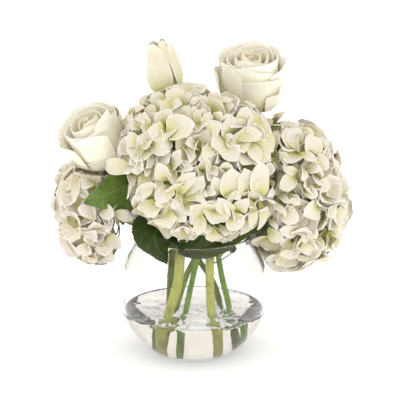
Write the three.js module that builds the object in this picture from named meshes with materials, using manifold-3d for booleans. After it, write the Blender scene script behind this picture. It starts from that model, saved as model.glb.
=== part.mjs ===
// Floral table centerpiece: three hydrangea heads, two roses, a closed tulip and their
// leaves, standing in a clear glass fishbowl with water.
// Millimetres, +Z up. The origin is the centre of the bowl's flat underside.
// The front of the arrangement faces -Y.
import * as THREE from "three";
import { mergeVertices } from "three/addons/utils/BufferGeometryUtils.js";
import Module from "manifold-3d";

const wasm = await Module();
wasm.setup();

// Driving dimensions of the glass bowl and its water
const GLASS_RADIUS = 80;
const GLASS_WIDEST = 66;
const LOWER_REACH = 77;
const UPPER_REACH = 89;
const GLASS_HEIGHT = 127;
const GLASS_WALL = 3;
const GLASS_FLOOR = 4;
const RIM_ROUND = 1.2;
const WATER_LEVEL = 47;
const BOWL_SIDES = 32;
const OUTER_HEIGHTS = [9, 24, 44, 66, 88, 108];
const INNER_HEIGHTS = [11, 26, WATER_LEVEL, 66, 88, 108];

// Touching pieces keep this gap
const GAP = 0.3;
const HOLE_GAP = 0.5;

// Stems: radius, and a route from the cut foot on the glass floor to the flower
const FOOT = GLASS_FLOOR + GAP;
const STEM_SIDES = 8;
const THICK_STEM = 5.3;
const HYDRANGEA_STEM = 4.8;
const SLIM_STEM = 3.2;
const STEM_SPARE = 2.5;

// Hydrangea heads: middle, half sizes, florets spread over the whole ball
const FLORET = 26;
const PETAL_THICKNESS = 0.8;
const CORE_DEPTH = 17;
const STALK = 1.8;
const STALK_DEPTH = 26;
const FLORET_GAP = 0.6;
const HEAD_GAP = 9;
// Least and most, as shares: floret size, depth of its root, petal length, petal cup
const FLORET_SIZE = [0.92, 1.08];
const ROOT_DEPTH = [0.84, 0.89];
const PETAL_LENGTH = [0.9, 1.1];
const PETAL_CUP = [0.02, 0.32];
const FLORET_LEAN = 0.25;
// A petal's corners: half its angle, its shoulder, the notch beside it, the drop of the
// underside and of the dip in the middle
const PETAL = { angle: 0.46, shoulder: 0.88, notch: 0.32, under: 0.16, dip: 0.1 };
// No floret grows inside this cone round the stem, under this share of its full depth, or
// this near to a stem or a leaf
const STEM_CONE = 0.86;
const PRESSED = 0.66;
const WAY_SPACE = 0.55;
// Fullness 2 is an egg, more is nearer to a rounded block
const CENTRE_HEAD = {
  middle: [3, -30, 209], reach: [82, 58, 79], fullness: 2.6, florets: 43, seed: 11,
};
const RIGHT_HEAD = {
  middle: [100, 18, 170], reach: [66, 58, 79], fullness: 2.4, florets: 36, seed: 23,
};
const LEFT_HEAD = {
  middle: [-97, 12, 151], reach: [56, 55, 58], fullness: 2.4, florets: 28, seed: 37,
};

// Roses and tulip: foot of the bloom, the way it faces, its height and radius
const ROSE_RIGHT = {
  foot: [61, 36, 256], facing: [0, -0.33, 0.945], height: 64, radius: 36, turn: 0.5,
};
const ROSE_LEFT = {
  foot: [-87, 6, 202.5], facing: [-0.4, -0.34, 0.85], height: 60, radius: 34, turn: 2.1,
};
const TULIP = { foot: [-26, 25, 275], facing: [-0.21, -0.04, 0.98], height: 55, radius: 20 };
// A petal's width at its foot, how full and how low its belly is, where it starts to roll out,
// how much less its corners roll, how round its top edge is, and how far above the bloom's
// foot it starts
const PETAL_FOOT = 0.35;
const BELLY = 0.45;
const LOW_BELLY = 1.3;
const ROLL_FROM = 0.7;
const ROLL_CORNERS = 0.4;
const ROUND_TOP = 0.16;
const FOOT_RISE = 2;
const CALYX = 6;
const CALYX_HEIGHT = 8;
// Along a sepal: how far out, how far down, half width
const SEPAL_SPINE = [[4, 3, 3], [11, 6, 3.2], [17, 13, 0.7]];

// Leaves: the notches between teeth and the waves along the edge are shares of the width
const LEAF_THICKNESS = 0.8;
const LEAF_TIP = 1;
const NOTCH = 0.86;
const WAVE = 0.06;
const WAVES = 9;
const PETIOLE = 1.5;

// Where a stem ends under its bloom
const bloomSeat = ({ foot, facing }, below = GAP) => {
  const back = vector(facing).setLength(-below);
  return vector(foot).add(back).toArray();
};
const STEM_ROUTES = {
  hydrangea_centre: [[-28, -19, FOOT], [-27, -20, 41], [-16, -20, 83], [-13.5, -20.5, 114],
    [-7, -22, 136], [2, -26, 160]],
  hydrangea_right: [[22, -20, FOOT], [19.5, -18, 40], [17, -13, 83], [18.5, -11, 112],
    [28, -3, 132], [46, 6, 146], [68, 12, 158]],
  hydrangea_left: [[-24, 16, FOOT], [-26, 10, 33], [-23.5, 8, 86], [-23, 8, 112],
    [-30, 8.5, 128], [-43, 10, 138], [-71, 12, 149]],
  tulip: [[-12, -10, FOOT], [-9.5, -9, 37], [-0.5, -4, 83], [6.5, 2, 114], [8, 14, 132],
    [3, 34, 165], [-12, 44, 205], [-21, 36, 243], bloomSeat(TULIP)],
  rose_right: [[35, 3, FOOT], [39, 4, 37], [29.5, 6, 83], [25.5, 12, 114], [31, 21, 134],
    [38, 36, 163], [50, 48, 205], [59.5, 45, 236], bloomSeat(ROSE_RIGHT, CALYX_HEIGHT)],
  rose_left: [[30, 14, FOOT], [30, 12, 31], [23, 14, 66], [2, 19, 100], [-8, 24, 125],
    [-32, 28, 148], [-63, 22, 172], bloomSeat(ROSE_LEFT, CALYX_HEIGHT)],
  leafy: [[-27, -3, FOOT], [-21, -5, 37], [-7, 3, 83], [8, 13, 110], [17, 22, 128],
    [19, 38, 142], [12, 58, 166]],
};

const matte = (color, roughness) => (
  new THREE.MeshStandardMaterial({ color, roughness, metalness: 0 })
);
const clear = (color, opacity) => (
  new THREE.MeshStandardMaterial({ color, opacity, transparent: true, roughness: 0.03, metalness: 0 })
);
const GLASS = clear(0xf4f6f5, 0.3);
const WATER = clear(0xe9efe8, 0.4);
const PALE_STEM = matte(0xb4be64, 0.55);
const GREEN_STEM = matte(0x5a9632, 0.5);
const DARK_STEM = matte(0x556437, 0.55);
const LEAF = matte(0x3f6b2c, 0.5);
const DARK_LEAF = matte(0x2f4a22, 0.5);
const HYDRANGEA = matte(0xf5eee4, 0.75);
const ROSE = matte(0xf4ecd7, 0.65);
const TULIP_CREAM = matte(0xeee6d2, 0.6);

const centerpiece = new THREE.Group();

function vector(values) {
  return new THREE.Vector3(...values);
}

// Repeatable random numbers from 0 to 1
function randomFrom(seed) {
  let state = seed;
  return () => {
    state = (state * 1664525 + 1013904223) % 4294967296;
    return state / 4294967296;
  };
}

function between([least, most], random) {
  return least + (most - least) * random();
}

function toSolid(geometry) {
  const bare = geometry.clone();
  bare.deleteAttribute("normal");
  bare.deleteAttribute("uv");
  const merged = mergeVertices(bare, 1e-4);
  const mesh = new wasm.Mesh({
    numProp: 3,
    vertProperties: new Float32Array(merged.attributes.position.array),
    triVerts: new Uint32Array(merged.index.array),
  });
  mesh.merge();
  return new wasm.Manifold(mesh);
}

function toGeometry(solid) {
  const mesh = solid.getMesh();
  const geometry = new THREE.BufferGeometry();
  geometry.setAttribute("position", new THREE.BufferAttribute(mesh.vertProperties, 3));
  geometry.setIndex(new THREE.BufferAttribute(mesh.triVerts, 1));
  geometry.computeVertexNormals();
  return geometry;
}

// The largest body alone: loose scraps and sealed hollows are left out
function largest(solid) {
  const bodies = solid.decompose();
  return bodies.reduce((best, body) => (body.volume() > best.volume() ? body : best));
}

function fused(solids) {
  return largest(wasm.Manifold.union(solids));
}

function add(name, solid, material) {
  const mesh = new THREE.Mesh(toGeometry(solid), material);
  mesh.name = name;
  centerpiece.add(mesh);
}

function meshSolid(points, triangles) {
  const mesh = new wasm.Mesh({
    numProp: 3,
    vertProperties: new Float32Array(points.flatMap((point) => point.toArray())),
    triVerts: new Uint32Array(triangles.flat()),
  });
  return new wasm.Manifold(mesh);
}

// A round tube along a smooth curve
function tube(points, radius, sides = STEM_SIDES, steps = points.length + 1) {
  const section = new THREE.Shape();
  for (let side = 0; side < sides; side += 1) {
    const angle = (side / sides) * 2 * Math.PI;
    const corner = [radius * Math.cos(angle), radius * Math.sin(angle)];
    if (side === 0) section.moveTo(...corner);
    else section.lineTo(...corner);
  }
  section.closePath();
  const path = new THREE.CatmullRomCurve3(points.map((point) => vector(point)));
  return toSolid(new THREE.ExtrudeGeometry(section, { steps, extrudePath: path, bevelEnabled: false }));
}

// A route whose two ends run on a little further
function lengthened(points, extra) {
  const first = vector(points[0]);
  const last = vector(points.at(-1));
  first.add(first.clone().sub(vector(points[1])).setLength(extra));
  last.add(last.clone().sub(vector(points.at(-2))).setLength(extra));
  return [first.toArray(), ...points.slice(1, -1), last.toArray()];
}

// A thin blade: a grid of middle points, half the thickness added to each side
function blade(grid, thickness) {
  const rows = grid.length;
  const columns = grid[0].length;
  const upper = [];
  const lower = [];
  for (let row = 0; row < rows; row += 1) {
    const before = grid[Math.max(row - 1, 0)];
    const after = grid[Math.min(row + 1, rows - 1)];
    for (let column = 0; column < columns; column += 1) {
      const along = after[column].clone().sub(before[column]);
      const across = grid[row][Math.min(column + 1, columns - 1)].clone()
        .sub(grid[row][Math.max(column - 1, 0)]);
      const lift = across.cross(along).setLength(thickness / 2);
      upper.push(grid[row][column].clone().add(lift));
      lower.push(grid[row][column].clone().sub(lift));
    }
  }
  const count = rows * columns;
  const triangles = [];
  const quad = (a, b, c, d) => triangles.push([a, b, c], [a, c, d]);
  for (let row = 0; row < rows - 1; row += 1) {
    for (let column = 0; column < columns - 1; column += 1) {
      const corner = row * columns + column;
      const facing = [corner, corner + 1, corner + columns + 1, corner + columns];
      triangles.push([facing[0], facing[1], facing[2]], [facing[0], facing[2], facing[3]]);
      triangles.push([facing[2] + count, facing[1] + count, facing[0] + count]);
      triangles.push([facing[3] + count, facing[2] + count, facing[0] + count]);
    }
  }
  for (let column = 0; column < columns - 1; column += 1) {
    const first = column;
    const last = (rows - 1) * columns + column;
    quad(first, first + count, first + 1 + count, first + 1);
    quad(last + 1, last + 1 + count, last + count, last);
  }
  for (let row = 0; row < rows - 1; row += 1) {
    const left = row * columns;
    const right = left + columns - 1;
    quad(left + columns, left + columns + count, left + count, left);
    quad(right, right + count, right + columns + count, right + columns);
  }
  return meshSolid([...upper, ...lower], triangles);
}

// Two directions square to a third
function squareTo(direction) {
  const helper = Math.abs(direction.z) < 0.9 ? new THREE.Vector3(0, 0, 1) : new THREE.Vector3(1, 0, 0);
  const first = helper.cross(direction).normalize();
  const second = direction.clone().cross(first);
  return [first, second];
}

// Glass bowl

function wallRadius(height, inset) {
  const reach = (height < GLASS_WIDEST ? LOWER_REACH : UPPER_REACH) - inset;
  return (GLASS_RADIUS - inset) * Math.sqrt(1 - ((height - GLASS_WIDEST) / reach) ** 2);
}

function turned(profile) {
  const points = profile.map(([radius, height]) => new THREE.Vector2(radius, height));
  const geometry = new THREE.LatheGeometry(points, BOWL_SIDES);
  geometry.rotateX(Math.PI / 2);
  return toSolid(geometry);
}

function glassBowl() {
  const shoulder = GLASS_HEIGHT - RIM_ROUND;
  const outside = [0, ...OUTER_HEIGHTS, shoulder]
    .map((height) => [wallRadius(height, 0), height]);
  const inside = [GLASS_FLOOR, ...INNER_HEIGHTS, shoulder]
    .map((height) => [wallRadius(height, GLASS_WALL), height]);
  const crest = [(outside.at(-1)[0] + inside.at(-1)[0]) / 2, GLASS_HEIGHT];
  return turned([[0, 0], ...outside, crest, ...inside.reverse(), [0, GLASS_FLOOR]]);
}

function water() {
  const heights = [FOOT, ...INNER_HEIGHTS.filter((height) => height <= WATER_LEVEL)];
  const side = heights.map((height) => [wallRadius(height, GLASS_WALL) - GAP, height]);
  const body = turned([[0, FOOT], ...side, [0, WATER_LEVEL]]);
  const holes = Object.keys(STEM_ROUTES).map((name) => stemHole(name));
  return largest(body.subtract(wasm.Manifold.union(holes)));
}

// Stems

function stemRadius(name) {
  if (name === "hydrangea_centre") return THICK_STEM;
  if (name.startsWith("hydrangea")) return HYDRANGEA_STEM;
  return SLIM_STEM;
}

function stemHole(name) {
  return tube(lengthened(STEM_ROUTES[name], STEM_SPARE), stemRadius(name) + HOLE_GAP);
}

// A stem follows the same curve as its hole, cut level at the foot and square at the top
function stem(name) {
  const route = STEM_ROUTES[name];
  const end = vector(route.at(-1));
  const back = vector(route.at(-2)).sub(end).normalize();
  return tube(lengthened(route, STEM_SPARE), stemRadius(name))
    .trimByPlane([0, 0, 1], FOOT)
    .trimByPlane(back.toArray(), back.dot(end));
}

// The green cup and five sepals under a rose, at the top of its stem
function calyx(bloom, extra = 0) {
  const facing = vector(bloom.facing).normalize();
  const [side, other] = squareTo(facing);
  const foot = vector(bloom.foot).addScaledVector(facing, extra - GAP);
  const below = foot.clone().addScaledVector(facing, -CALYX_HEIGHT);
  const cup = tube([below.toArray(), foot.toArray()], CALYX + extra, STEM_SIDES, 1);
  const sepals = [];
  for (let index = 0; index < 5; index += 1) {
    const angle = (index / 5) * 2 * Math.PI + bloom.turn;
    const out = side.clone().multiplyScalar(Math.cos(angle)).addScaledVector(other, Math.sin(angle));
    const around = facing.clone().cross(out);
    sepals.push(blade(SEPAL_SPINE.map(([reach, drop, half]) => [-1, 1].map((edge) => foot.clone()
      .addScaledVector(out, reach + extra)
      .addScaledVector(facing, -drop - extra)
      .addScaledVector(around, edge * (half + extra)))), LEAF_THICKNESS + 2 * extra));
  }
  return wasm.Manifold.union([cup, ...sepals]);
}

// Leaves

// Half width along an egg-shaped leaf, 0 at its foot and 1 at its tip
function leafShape(share) {
  return Math.sin(Math.PI * share ** 0.8) ** 0.75;
}

// A toothed blade about a curved rib, folded up along it
function leafBlade({ rib, half, up, fold, teeth = 12 }, extra = 0) {
  const curve = new THREE.CatmullRomCurve3(rib.map((point) => vector(point)));
  const grid = [];
  for (let station = 0; station <= teeth; station += 1) {
    const share = station / teeth;
    const middle = curve.getPoint(share);
    const tangent = curve.getTangent(share);
    const side = tangent.clone().cross(vector(up)).normalize();
    const lift = side.clone().cross(tangent).normalize();
    const notch = station % 2 === 0 ? NOTCH : 1;
    const reach = Math.max(half * leafShape(share) * notch, LEAF_TIP) + extra;
    const edge = (sign) => middle.clone()
      .addScaledVector(side, sign * reach)
      .addScaledVector(lift, reach * (fold + WAVE * Math.sin(share * WAVES + sign)));
    grid.push([edge(-1), middle, edge(1)]);
  }
  return blade(grid, LEAF_THICKNESS + 2 * extra);
}

function petiole(points, extra = 0) {
  return tube(points, PETIOLE + extra, 5, 3);
}

function leafSolid(leaf, extra = 0) {
  return fused([leafBlade(leaf, extra), petiole(leaf.petiole, extra)]);
}

const LEAVES = {
  leaf_left: {
    rib: [[-46, 24, 180], [-54, 10, 184], [-66, -8, 184.5], [-86, -33, 180], [-112, -48, 173.5]],
    half: 24, up: [0.75, -0.6, 0.2], fold: 0.16,
    petiole: [[-49, 19, 182], [-46, 24, 179], [-45, 24.5, 169]],
  },
  leaf_rim_front: {
    rib: [[-20, -22, 141], [-34, -44, 148], [-40, -62, 140], [-27, -74, 116]],
    half: 27, up: [0.35, -0.5, 0.8], fold: -0.25,
    petiole: [[-26, -32, 144], [-20, -25, 141], [-13.2, -22.4, 136]],
  },
  leaf_rim_right: {
    rib: [[-18, -33, 121], [2, -37, 122], [22, -34, 128], [40, -29, 138], [60, -26, 145],
      [87, -21, 139]],
    half: 13, up: [0.1, -0.85, 0.5], fold: 0.12,
    petiole: [[-14, -34, 121.5], [-17.5, -30, 120], [-15.5, -25.9, 118]],
  },
};

// The leafy stem's own leaves, all of one width and fold
const BACK_LEAF = { half: 22, fold: 0.15, teeth: 8 };
const BACK_LEAVES = [
  { rib: [[12, 58, 164], [-8, 66, 178], [-36, 64, 190], [-62, 50, 196]], up: [0, 0.9, 0.4] },
  { rib: [[12, 58, 164], [14, 72, 186], [12, 80, 212], [6, 76, 240]], up: [0, 1, 0.1] },
  { rib: [[16.5, 48, 153], [32, 66, 158], [50, 76, 158], [68, 78, 150]], up: [0, 0.7, 0.7] },
];

function leafyStem(extra = 0) {
  const blades = BACK_LEAVES.map((leaf) => leafBlade({ ...BACK_LEAF, ...leaf }, extra));
  const stalk = extra === 0 ? stem("leafy") : stemHole("leafy");
  return fused([stalk, ...blades]);
}

// Hydrangea heads

// How far along a ray from inside a head before it meets a neighbour's ellipsoid
function clearLength(start, direction, length, neighbours) {
  let clear = length;
  for (const { middle, reach } of neighbours) {
    const from = start.clone().sub(vector(middle)).divide(vector(reach));
    const step = direction.clone().divide(vector(reach));
    const a = step.dot(step);
    const b = from.dot(step);
    const c = from.dot(from) - 1;
    const root = b * b - a * c;
    if (root <= 0) continue;
    const near = (-b - Math.sqrt(root)) / a;
    if (near > 0 && near < clear) clear = near;
  }
  return clear;
}

// One floret: four broad petals in a cross, cupped, on a stalk that runs down into the core
function floret({ root, ray, outward, spin, size }, random, limit) {
  const [first, second] = squareTo(outward);
  const at = (angle, reach, height) => root.clone()
    .addScaledVector(first, reach * Math.cos(angle))
    .addScaledVector(second, reach * Math.sin(angle))
    .addScaledVector(outward, height);
  const rim = [];
  const hub = [];
  for (let petal = 0; petal < 4; petal += 1) {
    const angle = spin + (petal * Math.PI) / 2;
    const long = size * between(PETAL_LENGTH, random);
    const cup = size * between(PETAL_CUP, random);
    const shoulder = long * PETAL.shoulder;
    hub.push(at(angle - Math.PI / 4, STALK, -size * PETAL.under));
    rim.push(limit(at(angle - Math.PI / 4, size * PETAL.notch, 0)));
    rim.push(limit(at(angle - PETAL.angle, shoulder, cup / 2)));
    rim.push(limit(at(angle, long, cup * (0.5 + random()))));
    rim.push(limit(at(angle + PETAL.angle, shoulder, cup)));
  }
  const half = outward.clone().multiplyScalar(PETAL_THICKNESS / 2);
  const count = rim.length;
  const points = [
    ...rim.map((point) => point.clone().add(half)),
    ...rim.map((point) => point.clone().sub(half)),
    ...hub,
    at(0, 0, -size * PETAL.dip),
    root.clone().addScaledVector(ray, -STALK_DEPTH),
  ];
  const [bottom, hubs, dip, tip] = [count, 2 * count, 2 * count + 4, 2 * count + 5];
  const triangles = [];
  for (let index = 0; index < count; index += 1) {
    const next = (index + 1) % count;
    const petal = Math.floor(index / 4);
    const nextHub = hubs + ((petal + 1) % 4);
    const onLeft = index % 4 < 2;
    triangles.push([index, next, dip]);
    triangles.push([index, index + bottom, next + bottom], [index, next + bottom, next]);
    triangles.push([next + bottom, index + bottom, onLeft ? hubs + petal : nextHub]);
    if (index % 4 === 2) triangles.push([index + bottom, hubs + petal, nextHub]);
    if (index % 4 === 3) triangles.push([hubs + petal, tip, nextHub]);
  }
  return meshSolid(points, triangles);
}

// Even directions over a ball, the same turn between each and the next
function ballDirections(count) {
  const golden = Math.PI * (3 - Math.sqrt(5));
  return Array.from({ length: count }, (_, index) => {
    const height = 1 - (2 * (index + 0.5)) / count;
    const flat = Math.sqrt(1 - height * height);
    return new THREE.Vector3(flat * Math.cos(index * golden), flat * Math.sin(index * golden), height);
  });
}

// From the middle of a head to its own surface: a ball with slightly fuller corners
function surfaceLength(unit, { reach, fullness }) {
  const scaled = unit.clone().divide(vector(reach)).toArray();
  return scaled.reduce((sum, value) => sum + Math.abs(value) ** fullness, 0) ** (-1 / fullness);
}

// Points along the stems and leaf ribs that pass close by the heads
const WAYS = [...Object.values(STEM_ROUTES), ...Object.values(LEAVES).map((leaf) => leaf.rib)]
  .flatMap((route) => new THREE.CatmullRomCurve3(route.map((point) => vector(point))).getPoints(24));

// The places of a head's florets: even over the ball, left out round the stem and where
// a neighbour presses in deep
function floretPlaces(head, neighbours, stemRoute) {
  const random = randomFrom(head.seed);
  const centre = vector(head.middle);
  const sizes = vector(head.reach);
  const entry = vector(stemRoute.at(-2)).sub(centre).normalize();
  const places = [];
  for (const unit of ballDirections(head.florets)) {
    const spin = random() * Math.PI;
    const size = FLORET * between(FLORET_SIZE, random);
    const depth = between(ROOT_DEPTH, random);
    const lean = vector([1, 1, 1].map(() => FLORET_LEAN * (2 * random() - 1)));
    const ray = unit.clone().multiply(sizes).normalize();
    const length = depth * surfaceLength(ray, head);
    const clear = clearLength(centre, ray, length + FLORET / 3, neighbours) - FLORET / 3;
    const outward = unit.clone().divide(sizes).normalize().add(lean).normalize();
    const root = centre.clone().addScaledVector(ray, Math.min(clear, length));
    if (ray.dot(entry) > STEM_CONE || clear < length * PRESSED) continue;
    if (WAYS.some((point) => point.distanceTo(root) < FLORET * WAY_SPACE)) continue;
    places.push({ root, ray, outward, spin, size });
  }
  return places;
}

// A petal's point drawn back towards its floret's root, to half way to every other floret
function withinCell(point, place, places) {
  const reach = point.clone().sub(place.root);
  let share = 1;
  for (const other of places) {
    if (other === place) continue;
    const apart = other.root.clone().sub(place.root);
    const length = apart.length();
    const towards = reach.dot(apart) / length;
    if (towards > 0) share = Math.min(share, (length / 2 - FLORET_GAP) / towards);
  }
  return place.root.clone().addScaledVector(reach, share);
}

function hydrangeaHead(head, neighbours, stemRoute) {
  const random = randomFrom(head.seed + 1);
  const centre = vector(head.middle);
  const withinHead = (point) => {
    const ray = point.clone().sub(centre);
    const unit = ray.clone().normalize();
    const own = Math.min(ray.length(), surfaceLength(unit, head));
    const length = clearLength(centre, unit, own, neighbours);
    return centre.clone().addScaledVector(unit, length);
  };
  const core = new THREE.IcosahedronGeometry(1, 2);
  const corners = core.attributes.position;
  for (let index = 0; index < corners.count; index += 1) {
    const unit = new THREE.Vector3().fromBufferAttribute(corners, index).normalize();
    const own = surfaceLength(unit, head) - CORE_DEPTH;
    const clear = 0.86 * clearLength(centre, unit, own * 1.4, neighbours);
    corners.setXYZ(index, ...centre.clone().addScaledVector(unit, Math.min(own, clear)).toArray());
  }
  const places = floretPlaces(head, neighbours, stemRoute);
  const florets = places.map((place) => floret(place, random,
    (point) => withinHead(withinCell(point, place, places))));
  return [toSolid(core), ...florets];
}

// Roses and tulip

// A petal of a bloom in its own frame: a curved sheet from the foot, rising and rolling out
function petalGrid(bloom, shape, rows, columns) {
  const { root, turn, spread, radius, height, open, roll, twist, low = LOW_BELLY } = shape;
  const facing = vector(bloom.facing).normalize();
  const [side, other] = squareTo(facing);
  const foot = vector(bloom.foot);
  const grid = [];
  for (let row = 0; row <= rows; row += 1) {
    const share = row / rows;
    const line = [];
    for (let column = 0; column <= columns; column += 1) {
      const across = (2 * column) / columns - 1;
      const widening = Math.sin((Math.min(1, share * 1.5) * Math.PI) / 2);
      const angle = turn + across * spread * (PETAL_FOOT + (1 - PETAL_FOOT) * widening);
      const belly = Math.sin(Math.PI * Math.min(1, share * open)) ** BELLY;
      const rolled = roll * Math.max(0, share - ROLL_FROM) ** 1.5;
      const flare = rolled * (1 - ROLL_CORNERS * across * across);
      const out = Math.max(root, radius * belly) + flare + twist * across * share;
      const rise = height * share ** low * (1 - ROUND_TOP * across * across * share);
      line.push(foot.clone()
        .addScaledVector(side, out * Math.cos(angle))
        .addScaledVector(other, out * Math.sin(angle))
        .addScaledVector(facing, rise + FOOT_RISE));
    }
    grid.push(line);
  }
  return grid;
}

// The small egg at a bloom's foot that holds its petals together
function receptacle(bloom, radius, height) {
  const geometry = new THREE.SphereGeometry(1, 6, 4);
  const facing = vector(bloom.facing).normalize();
  const tilt = new THREE.Quaternion().setFromUnitVectors(new THREE.Vector3(0, 0, 1), facing);
  geometry.rotateX(Math.PI / 2);
  geometry.scale(radius, radius, height / 2);
  geometry.translate(0, 0, height / 2);
  geometry.applyQuaternion(tilt);
  geometry.translate(...bloom.foot);
  return toSolid(geometry);
}

// From the heart outwards; radius and height are shares of the bloom's own
const ROSE_LAYERS = [
  { petals: 3, root: 3, radius: 0.3, height: 0.93, open: 0.66, roll: 0, spread: 1.2, twist: 2 },
  { petals: 4, root: 4, radius: 0.53, height: 0.97, open: 0.62, roll: 5, spread: 0.95, twist: 2.6 },
  { petals: 5, root: 5, radius: 0.77, height: 0.95, open: 0.58, roll: 22, spread: 0.8, twist: 2.8 },
  { petals: 4, root: 6, radius: 0.95, height: 0.84, open: 0.56, roll: 36, spread: 0.8, twist: 2.4 },
];
const LAYER_TURN = 0.37;
// A layer that rolls out further than this has one more row of corners
const BENT_ROLL = 10;
// How far the rolled petals reach beyond a bloom's radius
const ROLLED_OUT = 7;
// Two rings of three petals: share of the bud's radius
const TULIP_LAYERS = [0.78, 1];
const TULIP_PETAL = { spread: 0.98, open: 0.9, roll: 0, twist: 0, low: 1.75 };

function rose(bloom) {
  const solids = [receptacle(bloom, 8, 9)];
  for (const [layer, shape] of ROSE_LAYERS.entries()) {
    for (let index = 0; index < shape.petals; index += 1) {
      const turn = bloom.turn + ((index + LAYER_TURN * layer) / shape.petals) * 2 * Math.PI;
      const radius = shape.radius * bloom.radius;
      const height = shape.height * bloom.height;
      const rows = shape.roll > BENT_ROLL ? 4 : 3;
      const grid = petalGrid(bloom, { ...shape, turn, radius, height }, rows, 3);
      solids.push(blade(grid, PETAL_THICKNESS));
    }
  }
  return fused(solids);
}

function tulip(bloom) {
  const solids = [receptacle(bloom, 7, 9)];
  for (const [layer, reach] of TULIP_LAYERS.entries()) {
    for (let index = 0; index < 3; index += 1) {
      const root = 3 + 2 * layer;
      const turn = -Math.PI / 2 + ((index + 0.5 * layer) / 3) * 2 * Math.PI;
      const radius = reach * bloom.radius;
      const shape = { ...TULIP_PETAL, root, turn, radius, height: bloom.height };
      solids.push(blade(petalGrid(bloom, shape, 3, 3), PETAL_THICKNESS));
    }
  }
  return fused(solids);
}

// Assembly

const roseBall = ({ foot, facing, height, radius }) => {
  const middle = vector(foot).addScaledVector(vector(facing).normalize(), height * 0.52);
  return { middle: middle.toArray(), reach: [1, 1, 1].map(() => radius + ROLLED_OUT) };
};
const grown = ({ middle, reach }, margin) => ({ middle, reach: reach.map((size) => size + margin) });
// Room that the centre head leaves for the leaves at its left and at the rim
const leafBalls = [
  { middle: [-100, -40, 188], reach: [36, 60, 42] },
  { middle: [-75, -60, 125], reach: [48, 60, 42] },
];
const bowlBall = {
  middle: [0, 0, GLASS_WIDEST],
  reach: [GLASS_RADIUS + 2, GLASS_RADIUS + 2, UPPER_REACH + 2],
};

add("glass_bowl", glassBowl(), GLASS);
add("water", water(), WATER);

const stemHoles = Object.keys(STEM_ROUTES).map((name) => stemHole(name));
const leafHoles = Object.values(LEAVES).map((leaf) => leafSolid(leaf, HOLE_GAP));
const calyxHoles = [ROSE_LEFT, ROSE_RIGHT].map((bloom) => calyx(bloom, HOLE_GAP));
const cuts = wasm.Manifold.union([...stemHoles, ...leafHoles, ...calyxHoles, leafyStem(HOLE_GAP)]);

const centreBall = grown(CENTRE_HEAD, HEAD_GAP);
const heads = {
  hydrangea_centre: [CENTRE_HEAD, [roseBall(ROSE_LEFT), roseBall(ROSE_RIGHT), ...leafBalls],
    PALE_STEM],
  hydrangea_right: [RIGHT_HEAD, [centreBall, roseBall(ROSE_RIGHT), bowlBall], PALE_STEM],
  hydrangea_left: [LEFT_HEAD, [centreBall, roseBall(ROSE_LEFT), bowlBall], DARK_STEM],
};
for (const [name, [head, neighbours, material]] of Object.entries(heads)) {
  const solids = hydrangeaHead(head, neighbours, STEM_ROUTES[name]);
  const whole = largest(wasm.Manifold.union(solids).subtract(cuts));
  add(`${name}_head`, whole, HYDRANGEA);
  add(`${name}_stem`, stem(name), material);
}

const roses = [["rose_left", ROSE_LEFT, DARK_STEM], ["rose_right", ROSE_RIGHT, GREEN_STEM]];
for (const [name, bloom, material] of roses) {
  add(`${name}_bloom`, rose(bloom), ROSE);
  add(`${name}_stem`, fused([stem(name), calyx(bloom)]), material);
}

add("tulip_bud", tulip(TULIP), TULIP_CREAM);
add("tulip_stem", stem("tulip"), GREEN_STEM);

for (const [name, leaf] of Object.entries(LEAVES)) {
  add(name, leafSolid(leaf), name === "leaf_left" ? LEAF : DARK_LEAF);
}
add("leafy_stem_back", leafyStem(), DARK_LEAF);

export default centerpiece;
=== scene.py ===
"""The looks of the floral table centerpiece: hydrangeas, roses, a tulip and leaves in a glass fishbowl.

Lengths are in millimetres until a piece becomes a mesh. The front faces -Y, and +Z is up.
"""

import math

import bpy
import numpy as np
from mathutils import Matrix


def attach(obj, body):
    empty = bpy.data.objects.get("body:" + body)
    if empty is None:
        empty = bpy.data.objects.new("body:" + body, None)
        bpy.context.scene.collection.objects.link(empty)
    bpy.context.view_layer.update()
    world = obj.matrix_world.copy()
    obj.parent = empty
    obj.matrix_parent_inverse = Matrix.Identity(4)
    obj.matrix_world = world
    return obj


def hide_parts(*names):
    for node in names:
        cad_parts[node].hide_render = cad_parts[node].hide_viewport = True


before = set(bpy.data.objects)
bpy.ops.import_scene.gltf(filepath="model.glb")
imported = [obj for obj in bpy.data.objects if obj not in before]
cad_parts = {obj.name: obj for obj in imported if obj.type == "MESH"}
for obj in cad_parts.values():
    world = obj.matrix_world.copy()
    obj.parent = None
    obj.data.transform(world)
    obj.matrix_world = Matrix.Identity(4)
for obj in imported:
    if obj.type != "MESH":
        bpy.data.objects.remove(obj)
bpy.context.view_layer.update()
MM = 0.001
UP = np.array([0.0, 0.0, 1.0])

# Sizes, as in the solids
GLASS_RADIUS, GLASS_WIDEST, GLASS_HEIGHT = 80, 66, 127
LOWER_REACH, UPPER_REACH = 77, 89
GLASS_WALL, GLASS_FLOOR, RIM_ROUND = 3, 4, 2
FLOOR_FILLET = 1.5
WATER_LEVEL, WATER_DIP, WATER_FILLET, INTO_GLASS = 47, 1.1, 1.2, 0.25
FOOT = 4.3
PETAL_THICKNESS, ROSE_THICKNESS, TULIP_THICKNESS, LEAF_THICKNESS = 0.45, 0.55, 0.5, 0.6
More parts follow.
